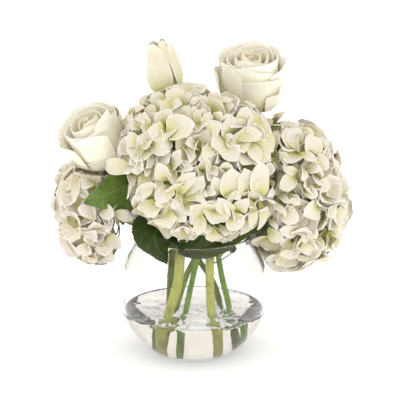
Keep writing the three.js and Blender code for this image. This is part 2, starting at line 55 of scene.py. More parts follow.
# Each head has a core this far in, petals that may stand out this far, and dents: which way, how deep and
# how narrow
CENTRE_HEAD = dict(
    middle=(3, -30, 209), reach=(82, 58, 79), fullness=2.6, core=31, loose=5,
    dents=[((0.7, -0.3, 0.7), 3, 6), ((-0.95, -0.25, 0.1), 7, 9)],
)
RIGHT_HEAD = dict(
    middle=(100, 18, 170), reach=(66, 58, 79), fullness=2.4, core=31, loose=9,
    dents=[((0.88, -0.1, 0.45), 14, 4)],
)
LEFT_HEAD = dict(
    middle=(-97, 12, 151), reach=(56, 55, 58), fullness=2.4, core=37, loose=9,
    dents=[((-0.9, -0.1, -0.4), 11, 4)],
)
ROSE_RIGHT = dict(foot=(61, 36, 256), facing=(0, -0.33, 0.945), height=64, radius=36, turn=0.5)
ROSE_LEFT = dict(foot=(-87, 6, 202.5), facing=(-0.4, -0.34, 0.85), height=60, radius=34, turn=2.1)
TULIP = dict(foot=(-26, 25, 275), facing=(-0.21, -0.04, 0.98), height=55, radius=20)
STEM_ROUTES = {
    "hydrangea_centre": [
        (-28, -19, FOOT), (-27, -20, 41), (-16, -20, 83), (-13.5, -20.5, 114), (-7, -22, 136), (2, -26, 160),
    ],
    "hydrangea_right": [
        (22, -20, FOOT), (19.5, -18, 40), (17, -13, 83), (18.5, -11, 112), (28, -3, 132), (46, 6, 146),
        (68, 12, 158),
    ],
    "hydrangea_left": [
        (-24, 16, FOOT), (-26, 10, 33), (-23.5, 8, 86), (-23, 8, 112), (-30, 8.5, 128), (-43, 10, 138),
        (-71, 12, 149),
    ],
    "tulip": [
        (-12, -10, FOOT), (-9.5, -9, 37), (-0.5, -4, 83), (6.5, 2, 114), (8, 14, 132), (3, 34, 165),
        (-12, 44, 205), (-21, 36, 243), (-26, 25, 275),
    ],
    "rose_right": [
        (35, 3, FOOT), (39, 4, 37), (29.5, 6, 83), (25.5, 12, 114), (31, 21, 134), (38, 36, 163),
        (50, 48, 205), (59.5, 45, 236), (61, 38.7, 248.2),
    ],
    "rose_left": [
        (30, 14, FOOT), (30, 12, 31), (23, 14, 66), (2, 19, 100), (-8, 24, 125), (-32, 28, 148),
        (-63, 22, 172), (-83.8, 8.8, 195.4),
    ],
    "leafy": [
        (-27, -3, FOOT), (-21, -5, 37), (-7, 3, 83), (8, 13, 110), (17, 22, 128), (19, 38, 142),
        (12, 58, 166),
    ],
}
STEM_RADII = dict(hydrangea_centre=5.3, hydrangea_right=4.8, hydrangea_left=4.8)
SLIM_STEM = 3.2
# Each leaf: its rib from the stalk to the tip, half its width, how much narrower its tip is, which way it
# faces, how it folds, and how much wider its left half (below 0) or right half is, seen from the stalk
LEAVES = {
    "leaf_left": dict(
        rib=[(-46, 24, 180), (-54, 10, 184), (-66, -8, 184.5), (-86, -33, 180), (-112, -48, 173.5)],
        half=26.5, taper=0.3, up=(0.75, -0.6, 0.2), fold=0.16,
        stalk=[(-49, 19, 182), (-46, 24, 179), (-45, 24.5, 169)],
    ),
    "leaf_rim_front": dict(
        rib=[(-20, -22, 141), (-34, -44, 148), (-40, -62, 140), (-27, -74, 116)],
        half=27, taper=0.55, up=(0.35, -0.5, 0.8), fold=-0.25, wider=-0.38,
        stalk=[(-26, -32, 144), (-20, -25, 141), (-13.2, -22.4, 136)],
    ),
    "leaf_rim_right": dict(
        rib=[(-18, -33, 121), (2, -37, 122), (22, -34, 128), (40, -29, 138), (60, -26, 145), (87, -21, 139)],
        half=15, up=(0.1, -0.85, 0.5), fold=0.12,
        stalk=[(-14, -34, 121.5), (-17.5, -30, 120), (-15.5, -25.9, 118)],
    ),
}
BACK_LEAVES = [
    dict(rib=rib, up=up, half=22, fold=0.15)
    for rib, up in (
        ([(12, 58, 164), (-8, 66, 178), (-36, 64, 190), (-62, 50, 196)], (0, 0.9, 0.4)),
        ([(12, 58, 164), (14, 72, 186), (12, 80, 212), (6, 76, 240)], (0, 1, 0.1)),
        ([(16.5, 48, 153), (32, 66, 158), (50, 76, 158), (68, 78, 150)], (0, 0.7, 0.7)),
    )
]


# The photograph's view, and petals placed through it
AIM, AWAY, TILT, LENS = np.array([6.7, 0, 165.1]), 1400, math.radians(13.5), 1325 / 400
EYE = AIM + AWAY * np.array([0, -math.cos(TILT), math.sin(TILT)])
# The picture's width and height in its own units, and how many of them show a millimetre of the object
PICTURE, PER_MM = 400, 0.95
# Each petal: foot across and down, tip across and down, width (all in 400ths of the picture),
# turn about its own length in degrees, how cupped, how far its tip stands out in mm, and lightness, which
# below 1 paints shade on it
CENTRE_PETALS = [
    (169, 137, 193, 122, 26, 0, 0.6, 5, 0.93), (165, 130, 147, 131, 18, 0, 0.25, 5, 1),
    (171, 138, 160, 144, 16, 45, 0.2, 6, 1), (152, 144, 168, 151, 14, 0, 0.3, 4, 0.9),
    (167, 124, 170, 109, 15, 10, 0.25, 3, 1), (164, 124, 155, 113, 14, -15, 0.25, 2, 0.95),
    (136, 113, 129, 108, 9, 0, 0.2, 3, 0.9), (136, 113, 142, 107, 9, 0, 0.2, 3, 0.95),
    (136, 114, 131, 121, 9, 0, 0.2, 3, 0.95), (136, 114, 142, 121, 9, 0, 0.2, 3, 0.95),
    (165, 103, 152, 93, 15, 0, 0.2, 4, 1), (176, 105, 174, 87, 18, 0, 0.2, 4, 1),
    (184, 105, 190, 92, 11, 10, 0.2, 3, 1), (151, 106, 142, 102, 7, 40, 0.2, 3, 0.85),
    (141, 140, 124, 138, 15, 0, 0.2, 5, 0.95), (141, 128, 128, 124, 12, 0, 0.2, 4, 1),
    (150, 127, 143, 112, 12, 20, 0.25, 3, 1), (152, 118, 150, 104, 12, -10, 0.25, 3, 1),
    (158, 112, 160, 100, 13, 10, 0.25, 2, 0.95), (170, 110, 181, 103, 14, 0, 0.25, 3, 1),
    (182, 120, 189, 106, 12, 20, 0.25, 3, 0.95), (141, 147, 128, 164, 13, 60, 0.35, 5, 1),
    (145, 152, 131, 173, 13, 50, 0.35, 6, 1), (147, 148, 140, 170, 13, -62, 0.35, 4, 0.95),
    (142, 146, 133, 152, 10, 60, 0.3, 3, 0.9), (150, 152, 146, 168, 11, 60, 0.3, 3, 0.9),
    (146, 165, 146, 176, 8, 50, 0.3, 3, 1), (182, 146, 191, 161, 12, 52, 0.35, 5, 1),
    (198, 150, 186, 142, 13, -50, 0.35, 5, 1), (199, 140, 193, 157, 13, -58, 0.35, 5, 1),
    (183, 168, 178, 150, 12, 55, 0.35, 5, 1), (204, 143, 200, 160, 13, 48, 0.35, 4, 1),
    (197, 124, 193, 106, 9, 25, 0.3, 3, 0.85), (198, 124, 198, 109, 8, 10, 0.3, 4, 0.9),
    (200, 123, 203, 108, 9, -20, 0.3, 3, 0.9), (202, 126, 210, 112, 10, -25, 0.3, 3, 0.9),
    (207, 136, 221, 122, 16, 0, 0.25, 5, 1), (213, 121, 222, 112, 9, 0, 0.2, 3, 1),
    (222, 126, 233, 115, 13, 0, 0.25, 3, 0.9), (236, 126, 249, 107, 19, 0, 0.2, 5, 0.92),
    (214, 107, 233, 98, 9, 40, 0.3, 4, 1), (213, 105, 215, 91, 12, 0, 0.2, 3, 1),
    (206, 108, 205, 96, 12, 0, 0.2, 2, 1), (224, 112, 234, 104, 10, 20, 0.2, 3, 0.95),
    (233, 139, 263, 133, 15, 10, 0.2, 5, 1), (224, 141, 233, 135, 8, 0, 0.2, 5, 1),
    (213, 142, 203, 157, 12, 20, 0.3, 3, 0.85), (221, 142, 238, 160, 18, 0, 0.25, 4, 0.9),
    (245, 143, 260, 162, 17, 0, 0.25, 5, 1), (214, 146, 217, 163, 10, 70, 0.3, 4, 1),
    (230, 156, 240, 145, 10, 20, 0.25, 5, 1), (204, 170, 206, 158, 12, 0, 0.3, 2, 0.8),
    (172, 187, 159, 204, 18, 0, 0.4, 6, 0.95), (177, 189, 172, 210, 12, 60, 0.3, 6, 1),
    (179, 192, 194, 174, 15, 15, 0.3, 6, 1), (169, 180, 157, 164, 16, 10, 0.3, 5, 0.95),
    (159, 175, 155, 200, 12, 40, 0.3, 5, 1), (168, 196, 154, 205, 12, 30, 0.3, 6, 1),
    (172, 168, 181, 160, 13, 30, 0.3, 4, 0.95), (175, 172, 192, 168, 14, 50, 0.3, 5, 1),
    (146, 172, 142, 198, 17, 0, 0.3, 4, 0.85), (135, 183, 125, 199, 11, 0, 0.25, 5, 1),
    (148, 190, 136, 199, 12, 20, 0.25, 5, 1), (133, 170, 129, 188, 10, 50, 0.3, 5, 1),
    (158, 202, 146, 217, 22, 0, 0.3, 4, 0.88), (146, 200, 137, 211, 9, 40, 0.3, 5, 1),
    (170, 210, 168, 230, 23, 0, 0.3, 5, 0.95), (160, 216, 154, 224, 12, 20, 0.3, 3, 0.9),
    (175, 210, 185, 223, 12, 0, 0.25, 4, 0.95), (179, 222, 179, 233, 6, 0, 0.25, 4, 1),
    (179, 200, 181, 213, 7, 20, 0.25, 5, 0.95), (186, 203, 190, 216, 18, 0, 0.3, 4, 0.85),
    (184, 197, 206, 204, 9, 40, 0.25, 7, 1), (184, 193, 203, 188, 10, 35, 0.25, 6, 1),
    (192, 190, 208, 197, 8, 60, 0.25, 5, 1), (186, 190, 203, 178, 18, 0, 0.3, 4, 0.88),
    (203, 190, 216, 194, 11, 20, 0.25, 5, 0.95), (208, 200, 215, 207, 9, 30, 0.25, 4, 0.9),
    (193, 210, 192, 226, 12, 30, 0.25, 5, 1), (197, 210, 199, 236, 13, 20, 0.25, 4, 0.97),
    (197, 228, 196, 236, 8, 0, 0.2, 4, 1), (213, 208, 214, 226, 25, 0, 0.35, 6, 1),
    (212, 226, 213, 243, 18, 0, 0.3, 4, 0.82), (205, 222, 207, 235, 8, 40, 0.25, 4, 1),
    (219, 224, 227, 237, 7, 30, 0.25, 4, 1), (226, 222, 232, 235, 9, 10, 0.25, 2, 0.78),
    (229, 214, 240, 231, 20, 0, 0.3, 5, 1), (250, 200, 252, 228, 12, 0, 0.3, 3, 0.85),
    (259, 200, 261, 232, 12, 10, 0.3, 5, 0.88), (266, 203, 267, 226, 8, 60, 0.3, 4, 1),
    (228, 197, 234, 170, 24, 0, 0.3, 5, 0.97), (221, 194, 215, 178, 12, 20, 0.3, 4, 0.95),
    (222, 194, 242, 199, 12, 40, 0.25, 6, 1), (246, 196, 246, 170, 20, 0, 0.3, 4, 0.93),
    (256, 197, 262, 163, 24, 0, 0.3, 5, 0.97), (268, 180, 271, 197, 10, 20, 0.3, 5, 1),
    (225, 172, 229, 163, 14, 20, 0.3, 3, 0.9), (206, 172, 218, 174, 10, 50, 0.3, 4, 0.9),
    (198, 168, 199, 180, 9, 50, 0.3, 3, 0.9), (237, 210, 247, 200, 16, 0, 0.3, 3, 0.95),
    (232, 212, 219, 200, 16, 0, 0.3, 3, 0.88),
]
# Where the photograph shows deep gaps between the florets: across, down and radius
GAPS = [
    (174, 152, 6), (200, 133, 4), (210, 141, 3), (209, 154, 4), (194, 147, 3), (147, 159, 3), (211, 187, 6),
    (145, 174, 4), (202, 200, 4), (172, 184, 4), (277, 203, 5), (273, 157, 3), (301, 155, 3), (268, 232, 5),
    (324, 228, 3), (312, 178, 3), (100, 196, 3), (84, 222, 2), (168, 131, 3),
]
# What each head leaves free in the photograph: from across, to across, and from this far down
CLEAR = dict(hydrangea_centre=(0, 400, 236), hydrangea_right=(0, 265, 240), hydrangea_left=(109, 400, 217))
RIGHT_PETALS = [
    (267, 132, 268, 117, 11, 0, 0.2, 4, 0.85), (275, 150, 277, 130, 11, 0, 0.25, 3, 0.92),
    (284, 132, 286, 120, 9, 0, 0.2, 3, 0.9), (293, 137, 296, 124, 13, 0, 0.2, 3, 0.97),
    (312, 160, 311, 134, 22, 0, 0.25, 3, 0.97), (299, 152, 289, 130, 10, 30, 0.25, 4, 0.95),
    (272, 152, 272, 138, 7, 20, 0.2, 3, 1), (300, 154, 316, 160, 10, 0, 0.3, 3, 0.85),
    (308, 170, 321, 168, 14, 0, 0.25, 4, 1), (316, 165, 329, 160, 16, 0, 0.25, 2, 0.9),
    (327, 166, 338, 164, 6, 0, 0.2, 4, 0.9), (322, 158, 332, 155, 6, 0, 0.2, 3, 0.9),
    (300, 166, 304, 180, 9, 50, 0.3, 4, 1), (296, 178, 280, 188, 16, 0, 0.25, 4, 0.95),
    (316, 185, 331, 186, 14, 0, 0.25, 3, 0.88), (318, 205, 305, 216, 20, 0, 0.3, 4, 1),
    (326, 202, 334, 218, 15, 0, 0.25, 3, 0.93), (330, 231, 343, 231, 14, 0, 0.25, 3, 0.93),
    (334, 238, 340, 249, 8, 0, 0.2, 3, 0.85), (284, 208, 298, 222, 20, 0, 0.3, 5, 0.97),
    (300, 228, 280, 232, 14, 0, 0.25, 5, 0.95), (267, 200, 286, 216, 9, 30, 0.25, 6, 1),
    (271, 219, 277, 231, 7, 20, 0.25, 5, 1), (268, 228, 283, 242, 14, 0, 0.25, 3, 0.82),
    (292, 242, 291, 261, 22, 0, 0.3, 4, 0.9), (290, 256, 291, 267, 18, 0, 0.25, 2, 0.8),
    (304, 240, 310, 256, 13, 0, 0.25, 4, 0.92), (318, 236, 322, 252, 11, 0, 0.25, 3, 0.85),
    (308, 226, 316, 240, 12, 10, 0.25, 4, 0.95), (303, 232, 306, 244, 9, 20, 0.25, 4, 0.9),
    (288, 196, 300, 204, 11, 10, 0.25, 3, 0.88), (278, 196, 289, 203, 7, 40, 0.25, 4, 1),
    (290, 160, 276, 152, 10, 0, 0.3, 3, 0.8), (298, 172, 283, 166, 10, 40, 0.3, 4, 0.9),
    (306, 188, 318, 196, 13, 0, 0.25, 3, 0.88), (318, 150, 324, 137, 12, 0, 0.2, 2, 0.95),
]
LEFT_PETALS = [
    (66, 172, 59, 162, 12, 0, 0.2, 3, 0.9), (64, 182, 54, 175, 12, 0, 0.2, 3, 0.88),
    (72, 192, 58, 204, 16, 0, 0.25, 4, 0.95), (64, 215, 54, 219, 14, 0, 0.25, 3, 0.88),
    (92, 182, 81, 186, 12, 0, 0.3, 4, 0.95), (76, 175, 74, 200, 10, 20, 0.3, 4, 0.8),
    (98, 215, 78, 208, 18, 0, 0.25, 4, 0.92), (102, 209, 113, 217, 15, 0, 0.25, 4, 0.9),
    (113, 213, 137, 218, 12, 0, 0.2, 6, 0.95), (100, 214, 108, 232, 10, 50, 0.3, 5, 1),
    (108, 232, 121, 250, 12, 0, 0.2, 5, 0.8), (104, 238, 105, 257, 17, 0, 0.3, 4, 0.92),
    (86, 234, 95, 232, 12, 0, 0.3, 4, 0.95), (90, 242, 78, 254, 16, 0, 0.25, 3, 0.9),
    (93, 252, 93, 264, 12, 0, 0.2, 2, 0.75), (80, 232, 66, 240, 14, 0, 0.25, 3, 0.88),
    (82, 226, 96, 242, 12, 20, 0.3, 4, 0.92), (70, 205, 60, 216, 12, 10, 0.25, 3, 0.9),
]


# Vectors and curves
def unit(vector):
    vector = np.asarray(vector, float)
    return vector / np.linalg.norm(vector, axis=-1, keepdims=True)


def square_to(direction):
    """Two directions square to a third."""
    helper = UP if abs(direction[2]) < 0.9 else np.array([1.0, 0.0, 0.0])
    first = unit(np.cross(helper, direction))
    return first, np.cross(direction, first)


def curve(points, count):
    """Evenly spaced points on a smooth curve through the given ones."""
    points = np.asarray(points, float)
    ends = 2 * points[0] - points[1], 2 * points[-1] - points[-2]
    points = np.vstack([ends[0], points, ends[1]])
    share = np.linspace(0, 1, 24, endpoint=False)[:, None]
    samples = []
    for a, b, c, d in zip(points, points[1:], points[2:], points[3:]):
        before, here, after = (np.linalg.norm(q - p) ** 0.5 for p, q in ((a, b), (b, c), (c, d)))
        leave = here * ((b - a) / before - (c - a) / (before + here) + (c - b) / here)
        arrive = here * ((c - b) / here - (d - b) / (here + after) + (d - c) / after)
        square, cube = share**2, share**3
        samples.append(
            (2 * cube - 3 * square + 1) * b + (cube - 2 * square + share) * leave
            + (3 * square - 2 * cube) * c + (cube - square) * arrive
        )
    samples.append(points[-2][None])
    dense = np.vstack(samples)
    lengths = np.concatenate([[0], np.cumsum(np.linalg.norm(np.diff(dense, axis=0), axis=1))])
    wanted = np.linspace(0, lengths[-1], count)
    return np.stack([np.interp(wanted, lengths, dense[:, axis]) for axis in range(3)], axis=1)


# Meshes
def ring_faces(rows, sides, other_way=False):
    """The faces between rings of points in a row, closed by the two end points that follow the rings."""
    faces = []
    for row in range(rows - 1):
        for side in range(sides):
            near, far = row * sides + side, row * sides + (side + 1) % sides
            faces.append((near, far, far + sides, near + sides))
    last = (rows - 1) * sides
    for side in range(sides):
        after = (side + 1) % sides
        faces.append((rows * sides, after, side))
        faces.append((rows * sides + 1, last + side, last + after))
    return [(face[0], *face[:0:-1]) for face in faces] if other_way else faces


def ring_angles(sides):
    return np.linspace(0, 2 * np.pi, sides, endpoint=False)


def flat_ring(radius, height, sides):
    """Points on a level circle about the Z axis."""
    angles = ring_angles(sides)
    return np.column_stack([radius * np.cos(angles), radius * np.sin(angles), np.full(sides, height)])


def ball_rings(rings, sides):
    """Points on a ball of radius 1, ring by ring from the top, then its top and its bottom."""
    downs = np.linspace(0, np.pi, rings + 1)[1:-1]
    return np.vstack([*(flat_ring(np.sin(down), np.cos(down), sides) for down in downs), UP, -UP])


class Piece:
    """Points, faces and marks gathered for one visible piece.

    A point's mark is (along, across, light, tone), which its material reads. Petal materials paint shade
    where the light is below 1.
    """

    def __init__(self):
        self.points, self.marks, self.faces, self.looks, self.rims = [], [], [], [], []
        self.count = 0

    def add(self, points, faces, marks, look=0):
        self.points.append(np.asarray(points, float).reshape(-1, 3))
        self.marks.append(np.asarray(marks, float).reshape(-1, 4))
        self.faces.extend(tuple(int(i) + self.count for i in face) for face in faces)
        self.looks.extend([look] * len(faces))
        self.count += len(self.points[-1])

    def sheet(self, grid, thickness, marks, look=0):
        """A grid of middle points given a thickness, closed along its edge."""
        rows, columns = grid.shape[:2]
        normal = np.cross(np.gradient(grid, axis=1), np.gradient(grid, axis=0))
        normal /= np.linalg.norm(normal, axis=2, keepdims=True) + 1e-9
        count = rows * columns
        index = np.arange(count).reshape(rows, columns)
        a, b = index[:-1, :-1].ravel(), index[:-1, 1:].ravel()
        c, d = index[1:, 1:].ravel(), index[1:, :-1].ravel()
        faces = list(zip(a, b, c, d)) + list(zip(d + count, c + count, b + count, a + count))
        edge = np.concatenate([index[0, :-1], index[:-1, -1], index[-1, :0:-1], index[:0:-1, 0]])
        after = np.roll(edge, -1)
        faces += list(zip(edge, edge + count, after + count, after))
        lift = normal * thickness / 2
        points = np.concatenate([(grid + lift).reshape(-1, 3), (grid - lift).reshape(-1, 3)])
        both = np.concatenate([marks.reshape(-1, 4)] * 2)
        for side in (0, count):
            self.rims.append(np.column_stack([edge, after]) + side + self.count)
        self.add(points, faces, both, look)

    def tube(self, path, radii, marks, sides, look):
        """A round tube along points, closed by a low cone at each end."""
        path = np.asarray(path, float)
        radii = np.broadcast_to(radii, len(path))
        tangents = unit(np.gradient(path, axis=0))
        first = square_to(tangents[0])[0]
        angles = ring_angles(sides)
        rings = []
        for middle, tangent, radius in zip(path, tangents, radii):
            first = unit(first - tangent * np.dot(first, tangent))
            second = np.cross(tangent, first)
            ring = np.outer(np.cos(angles), first) + np.outer(np.sin(angles), second)
            rings.append(middle + radius * ring)
        ends = path[0] - tangents[0] * radii[0] * 0.3, path[-1] + tangents[-1] * radii[-1] * 0.3
        points = np.vstack([*rings, *ends])
        values = np.tile(np.asarray(marks, float), (len(points), 1))
        values[:, 0] = np.concatenate([np.repeat(np.linspace(0, 1, len(path)), sides), [0, 1]])
        self.add(points, ring_faces(len(path), sides), values, look)

    def ball(self, middle, radii, facing, marks, look=0, rings=6, sides=10):
        """A small closed egg."""
        axes = np.stack([*square_to(unit(facing)), unit(facing)])
        local = ball_rings(rings, sides)
        values = np.tile(np.asarray(marks, float), (len(local), 1))
        values[:, 0] = (1 - local[:, 2]) / 2
        faces = ring_faces(rings - 1, sides, other_way=True)
        self.add(np.asarray(middle) + (local * radii) @ axes, faces, values, look)

    def sharpen(self, mesh):
        """Keeps each thin edge crisp, so that a petal's faces are shaded right up to it."""
        if not self.rims:
            return
        edges = np.empty(len(mesh.edges) * 2, int)
        mesh.edges.foreach_get("vertices", edges)
        both = edges.reshape(-1, 2), np.vstack(self.rims)
        edge_keys, rim_keys = (np.sort(pairs, axis=1) @ [self.count, 1] for pairs in both)
        sharp = mesh.attributes.new("sharp_edge", "BOOLEAN", "EDGE")
        sharp.data.foreach_set("value", np.isin(edge_keys, rim_keys))

    def build(self, name, materials, slot, *nodes):
        mesh = bpy.data.meshes.new(name)
        mesh.from_pydata((np.vstack(self.points) * MM).tolist(), [], self.faces)
        for material in materials:
            mesh.materials.append(material)
        mesh.polygons.foreach_set("material_index", self.looks)
        mesh.polygons.foreach_set("use_smooth", [True] * len(self.faces))
        attribute = mesh.attributes.new("mark", "FLOAT_COLOR", "POINT")
        attribute.data.foreach_set("color", np.vstack(self.marks).ravel())
        mesh.update()
        self.sharpen(mesh)
        piece = bpy.data.objects.new(name, mesh)
        bpy.context.scene.collection.objects.link(piece)
        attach(piece, "root")
        if nodes:
            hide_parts(*nodes)
        return piece


# Materials
class Nodes:
    """Short ways to add nodes to one material."""

    def __init__(self, name):
        self.material = bpy.data.materials.new(name)
        self.material.use_nodes = True
        self.tree = self.material.node_tree
        self.shader = self.tree.nodes["Principled BSDF"]

    def add(self, kind, settings=(), **inputs):
        node = self.tree.nodes.new(kind)
        for name, value in dict(settings).items():
            setattr(node, name, value)
        for name, value in inputs.items():
            self.put(node, int(name[1:]) if name[0] == "i" and name[1:].isdigit() else name, value)
        return node

    def put(self, node, name, value):
        socket = node.inputs[name.replace("_", " ") if isinstance(name, str) else name]
        if isinstance(value, bpy.types.NodeSocket):
            self.tree.links.new(value, socket)
        else:
            socket.default_value = value

    def set(self, **inputs):
        for name, value in inputs.items():
            self.put(self.shader, name, value)

    def math(self, operation, first, second=0.0):
        return self.add("ShaderNodeMath", {"operation": operation}, i0=first, i1=second).outputs[0]

    def spread(self, value, low, high, least=0.0, most=1.0):
        """Goes smoothly from least to most while the value goes from low to high."""
        smooth = {"interpolation_type": "SMOOTHSTEP"}
        return self.add("ShaderNodeMapRange", smooth, i0=value, i1=low, i2=high, i3=least, i4=most).outputs[0]

    def mix(self, share, first, second, blend="MIX"):
        node = self.add("ShaderNodeMix", {"data_type": "RGBA", "blend_type": blend})
        self.put(node, 0, share)
        for index, value in ((6, first), (7, second)):
            self.put(node, index, rgba(value) if isinstance(value, tuple) else value)
        return node.outputs[2]

    def ramp(self, value, stops):
        node = self.add("ShaderNodeValToRGB", i0=value)
        elements = node.color_ramp.elements
        while len(elements) < len(stops):
            elements.new(0.5)
        for element, (place, colour) in zip(elements, stops):
            element.position = place
            element.color = rgba(colour)
        return node.outputs[0]

    def noise(self, scale, vector=None, detail=3.0, roughness=0.5):
        node = self.add("ShaderNodeTexNoise", Scale=scale, Detail=detail, Roughness=roughness)
        self.put(node, "Vector", vector or self.place())
        return node.outputs[0]

    def place(self):
        return self.add("ShaderNodeTexCoord").outputs["Object"]

    def height(self):
        return self.add("ShaderNodeSeparateXYZ", i0=self.place()).outputs[2]

    def from_middle(self, across):
        """How far across, 0 at the middle and 1 at either edge."""
        return self.math("ABSOLUTE", self.math("SUBTRACT", self.math("MULTIPLY", across, 2.0), 1.0))

    def marks(self):
        node = self.add("ShaderNodeAttribute", {"attribute_name": "mark"})
        parts = self.add("ShaderNodeSeparateColor", i0=node.outputs["Color"]).outputs
        return parts[0], parts[1], parts[2], node.outputs["Alpha"]

    def vector(self, x, y, z):
        return self.add("ShaderNodeCombineXYZ", i0=x, i1=y, i2=z).outputs[0]

    def bump(self, height, distance, strength):
        return self.add("ShaderNodeBump", Strength=strength, Distance=distance, Height=height).outputs[0]


def rgba(colour):
    """Screen colour 0 to 255 to the linear values that Blender uses."""
    linear = [(c / 255 / 12.92) if c <= 10 else ((c / 255 + 0.055) / 1.055) ** 2.4 for c in colour]
    return (*linear, 1.0)


def petal_material(name, stops, warm, cool, deep, roughness, depth, veins):
    """A thin soft petal: coloured from foot to tip, with fine veins and its own tone, painted shade in a
    deeper colour where its light mark is low, and a painted highlight along its edges and tip.
    """
    n = Nodes(name)
    along, across, light, tone = n.marks()
    colour = n.ramp(along, stops)
    colour = n.mix(n.spread(tone, 0.5, 1.0, 0.0, 0.55), colour, warm, "MULTIPLY")
    colour = n.mix(n.spread(tone, 0.0, 0.5, 0.5, 0.0), colour, cool, "MULTIPLY")
    stretched = [n.math("MULTIPLY", value, by) for value, by in ((across, 26.0), (along, 2.2), (tone, 40.0))]
    streaks = n.noise(1.0, n.vector(*stretched), 4.0, 0.6)
    colour = n.mix(n.spread(streaks, 0.42, 0.7, 0.0, veins), colour, deep)
    # Painted shade: points whose light mark is low, deep in a head or on a shaded petal, take on the deeper
    # colour
    colour = n.mix(n.spread(light, 0.0, 0.95, depth, 0.0), colour, deep)
    # Painted highlight: the petal's edges and tip are lighter, where its rims catch the light
    edge = n.math("MAXIMUM", n.from_middle(across), along)
    colour = n.mix(n.spread(edge, 0.88, 1.0, 0.0, 0.6), colour, (255, 251, 240))
    mottle = n.noise(160.0)
    colour = n.mix(n.spread(mottle, 0.45, 0.8, 0.0, 0.1), colour, (255, 255, 250))
    n.set(Base_Color=colour, Roughness=roughness)
    n.set(Subsurface_Weight=0.12, Subsurface_Radius=(1.0, 0.9, 0.7), Subsurface_Scale=0.002)
    n.set(Specular_IOR_Level=0.3, Sheen_Weight=0.15, Sheen_Roughness=0.4)
    n.set(Normal=n.bump(streaks, 0.0006, veins * 3))
    return n.material


def leaf_material(name, dark, light, vein):
    """A leaf: mottled green, paler midrib and side veins, faint quilting between them."""
    n = Nodes(name)
    along, across, shade = n.marks()[:3]
    side = n.from_middle(across)
    ribs = n.math("SUBTRACT", n.math("MULTIPLY", along, 9.0), n.math("MULTIPLY", side, 1.7))
    comb = n.math("ABSOLUTE", n.math("SUBTRACT", n.math("FRACT", ribs), 0.5))
    wobble = n.noise(90.0)
    line = n.spread(comb, 0.0, 0.07, 1.0, 0.0)
    midrib = n.spread(side, 0.0, 0.06, 1.0, 0.0)
    colour = n.mix(n.spread(wobble, 0.3, 0.7), dark, light)
    colour = n.mix(n.spread(shade, 0.0, 1.0, 0.0, 0.6), colour, light)
    fine = n.noise(700.0, None, 4.0, 0.65)
    colour = n.mix(n.spread(fine, 0.4, 0.75, 0.0, 0.3), colour, dark)
    colour = n.mix(n.math("MULTIPLY", line, 0.4), colour, vein)
    colour = n.mix(n.math("MULTIPLY", midrib, 0.7), colour, vein)
    height = n.math("ADD", n.math("MULTIPLY", comb, 1.2), n.math("MULTIPLY", fine, 0.25))
    height = n.math("SUBTRACT", height, n.math("MULTIPLY", midrib, 0.5))
    n.set(Base_Color=colour, Roughness=n.spread(fine, 0.3, 0.7, 0.34, 0.5))
    n.set(Subsurface_Weight=0.08, Subsurface_Radius=(0.4, 1.0, 0.2), Subsurface_Scale=0.002)
    n.set(Specular_IOR_Level=0.45, Normal=n.bump(height, 0.0012, 0.6))
    return n.material


# Heights in metres: where the leaves round the rim shade the stems, and where the water's ripples start
SHADED_FROM, SHADED_TO = (0.1, 0.125), (0.15, 0.175)
RIPPLED_FROM = (0.043, 0.0455)


def stem_material(name, base, pale, dark):
    """A stem: long fine streaks and darker blotches, shaded under the leaves at the rim."""
    n = Nodes(name)
    place = n.add("ShaderNodeMapping", i0=n.place())
    place.inputs["Scale"].default_value = (1.0, 1.0, 0.06)
    streaks = n.noise(900.0, place.outputs[0], 4.0, 0.6)
    blotch = n.noise(70.0)
    colour = n.mix(n.spread(streaks, 0.35, 0.68), base, pale)
    colour = n.mix(n.spread(blotch, 0.5, 0.75, 0.0, 0.65), colour, dark)
    height = n.height()
    shaded = n.math("MULTIPLY", n.spread(height, *SHADED_FROM), n.spread(height, *SHADED_TO, 0.8, 0.0))
    colour = n.mix(shaded, colour, (74, 88, 38))
    n.set(Base_Color=colour, Roughness=0.42, Specular_IOR_Level=0.4)
    n.set(Subsurface_Weight=0.12, Subsurface_Radius=(0.7, 1.0, 0.3), Subsurface_Scale=0.002)
    n.set(Normal=n.bump(n.math("ADD", streaks, n.math("MULTIPLY", blotch, 0.6)), 0.0006, 0.5))
    return n.material


def core_material():
    """The shaded green depth of a hydrangea head, where its inner stalks crowd together."""
    n = Nodes("inner_green")
    cells = n.noise(160.0, None, 5.0, 0.6)
    colour = n.ramp(cells, [(0.3, (146, 150, 76)), (0.5, (192, 194, 116)), (0.72, (222, 222, 160))])
    n.set(Base_Color=colour, Roughness=0.8, Specular_IOR_Level=0.2, Normal=n.bump(cells, 0.003, 0.9))
    return n.material


def clear_material(name, colour, index, ripple, high, uneven_by, deep, density, edge, calm_below=None):
    """Glass or water: clear, with a faint unevenness of its surface, painted grey along its outline where
    seen edge-on, and deeper in colour where thick.
    """
    n = Nodes(name)
    uneven = n.noise(ripple, None, 2.0, 0.4)
    # Painted shade along the outline: where the surface is seen edge-on it turns grey and lets less light
    # through
    grazing = n.add("ShaderNodeLayerWeight", Blend=0.5).outputs["Facing"]
    tint = n.mix(n.spread(uneven, 0.3, 0.7), colour, (255, 255, 255))
    n.set(Base_Color=n.mix(n.spread(grazing, 0.72, 1.0, 0.0, 0.75), tint, (212, 210, 206)))
    n.set(Roughness=0.0, IOR=index, Transmission_Weight=n.spread(grazing, 0.74, 0.96, 1.0, edge))
    n.set(Specular_IOR_Level=0.5, Specular_Tint=(0.8, 0.795, 0.785, 1))
    strength = n.spread(n.height(), *calm_below, 0.04, uneven_by) if calm_below else uneven_by
    n.set(Normal=n.bump(uneven, high, strength))
    depths = n.add("ShaderNodeVolumeAbsorption", Color=rgba(deep), Density=density)
    n.tree.links.new(depths.outputs[0], n.tree.nodes["Material Output"].inputs["Volume"])
    return n.material


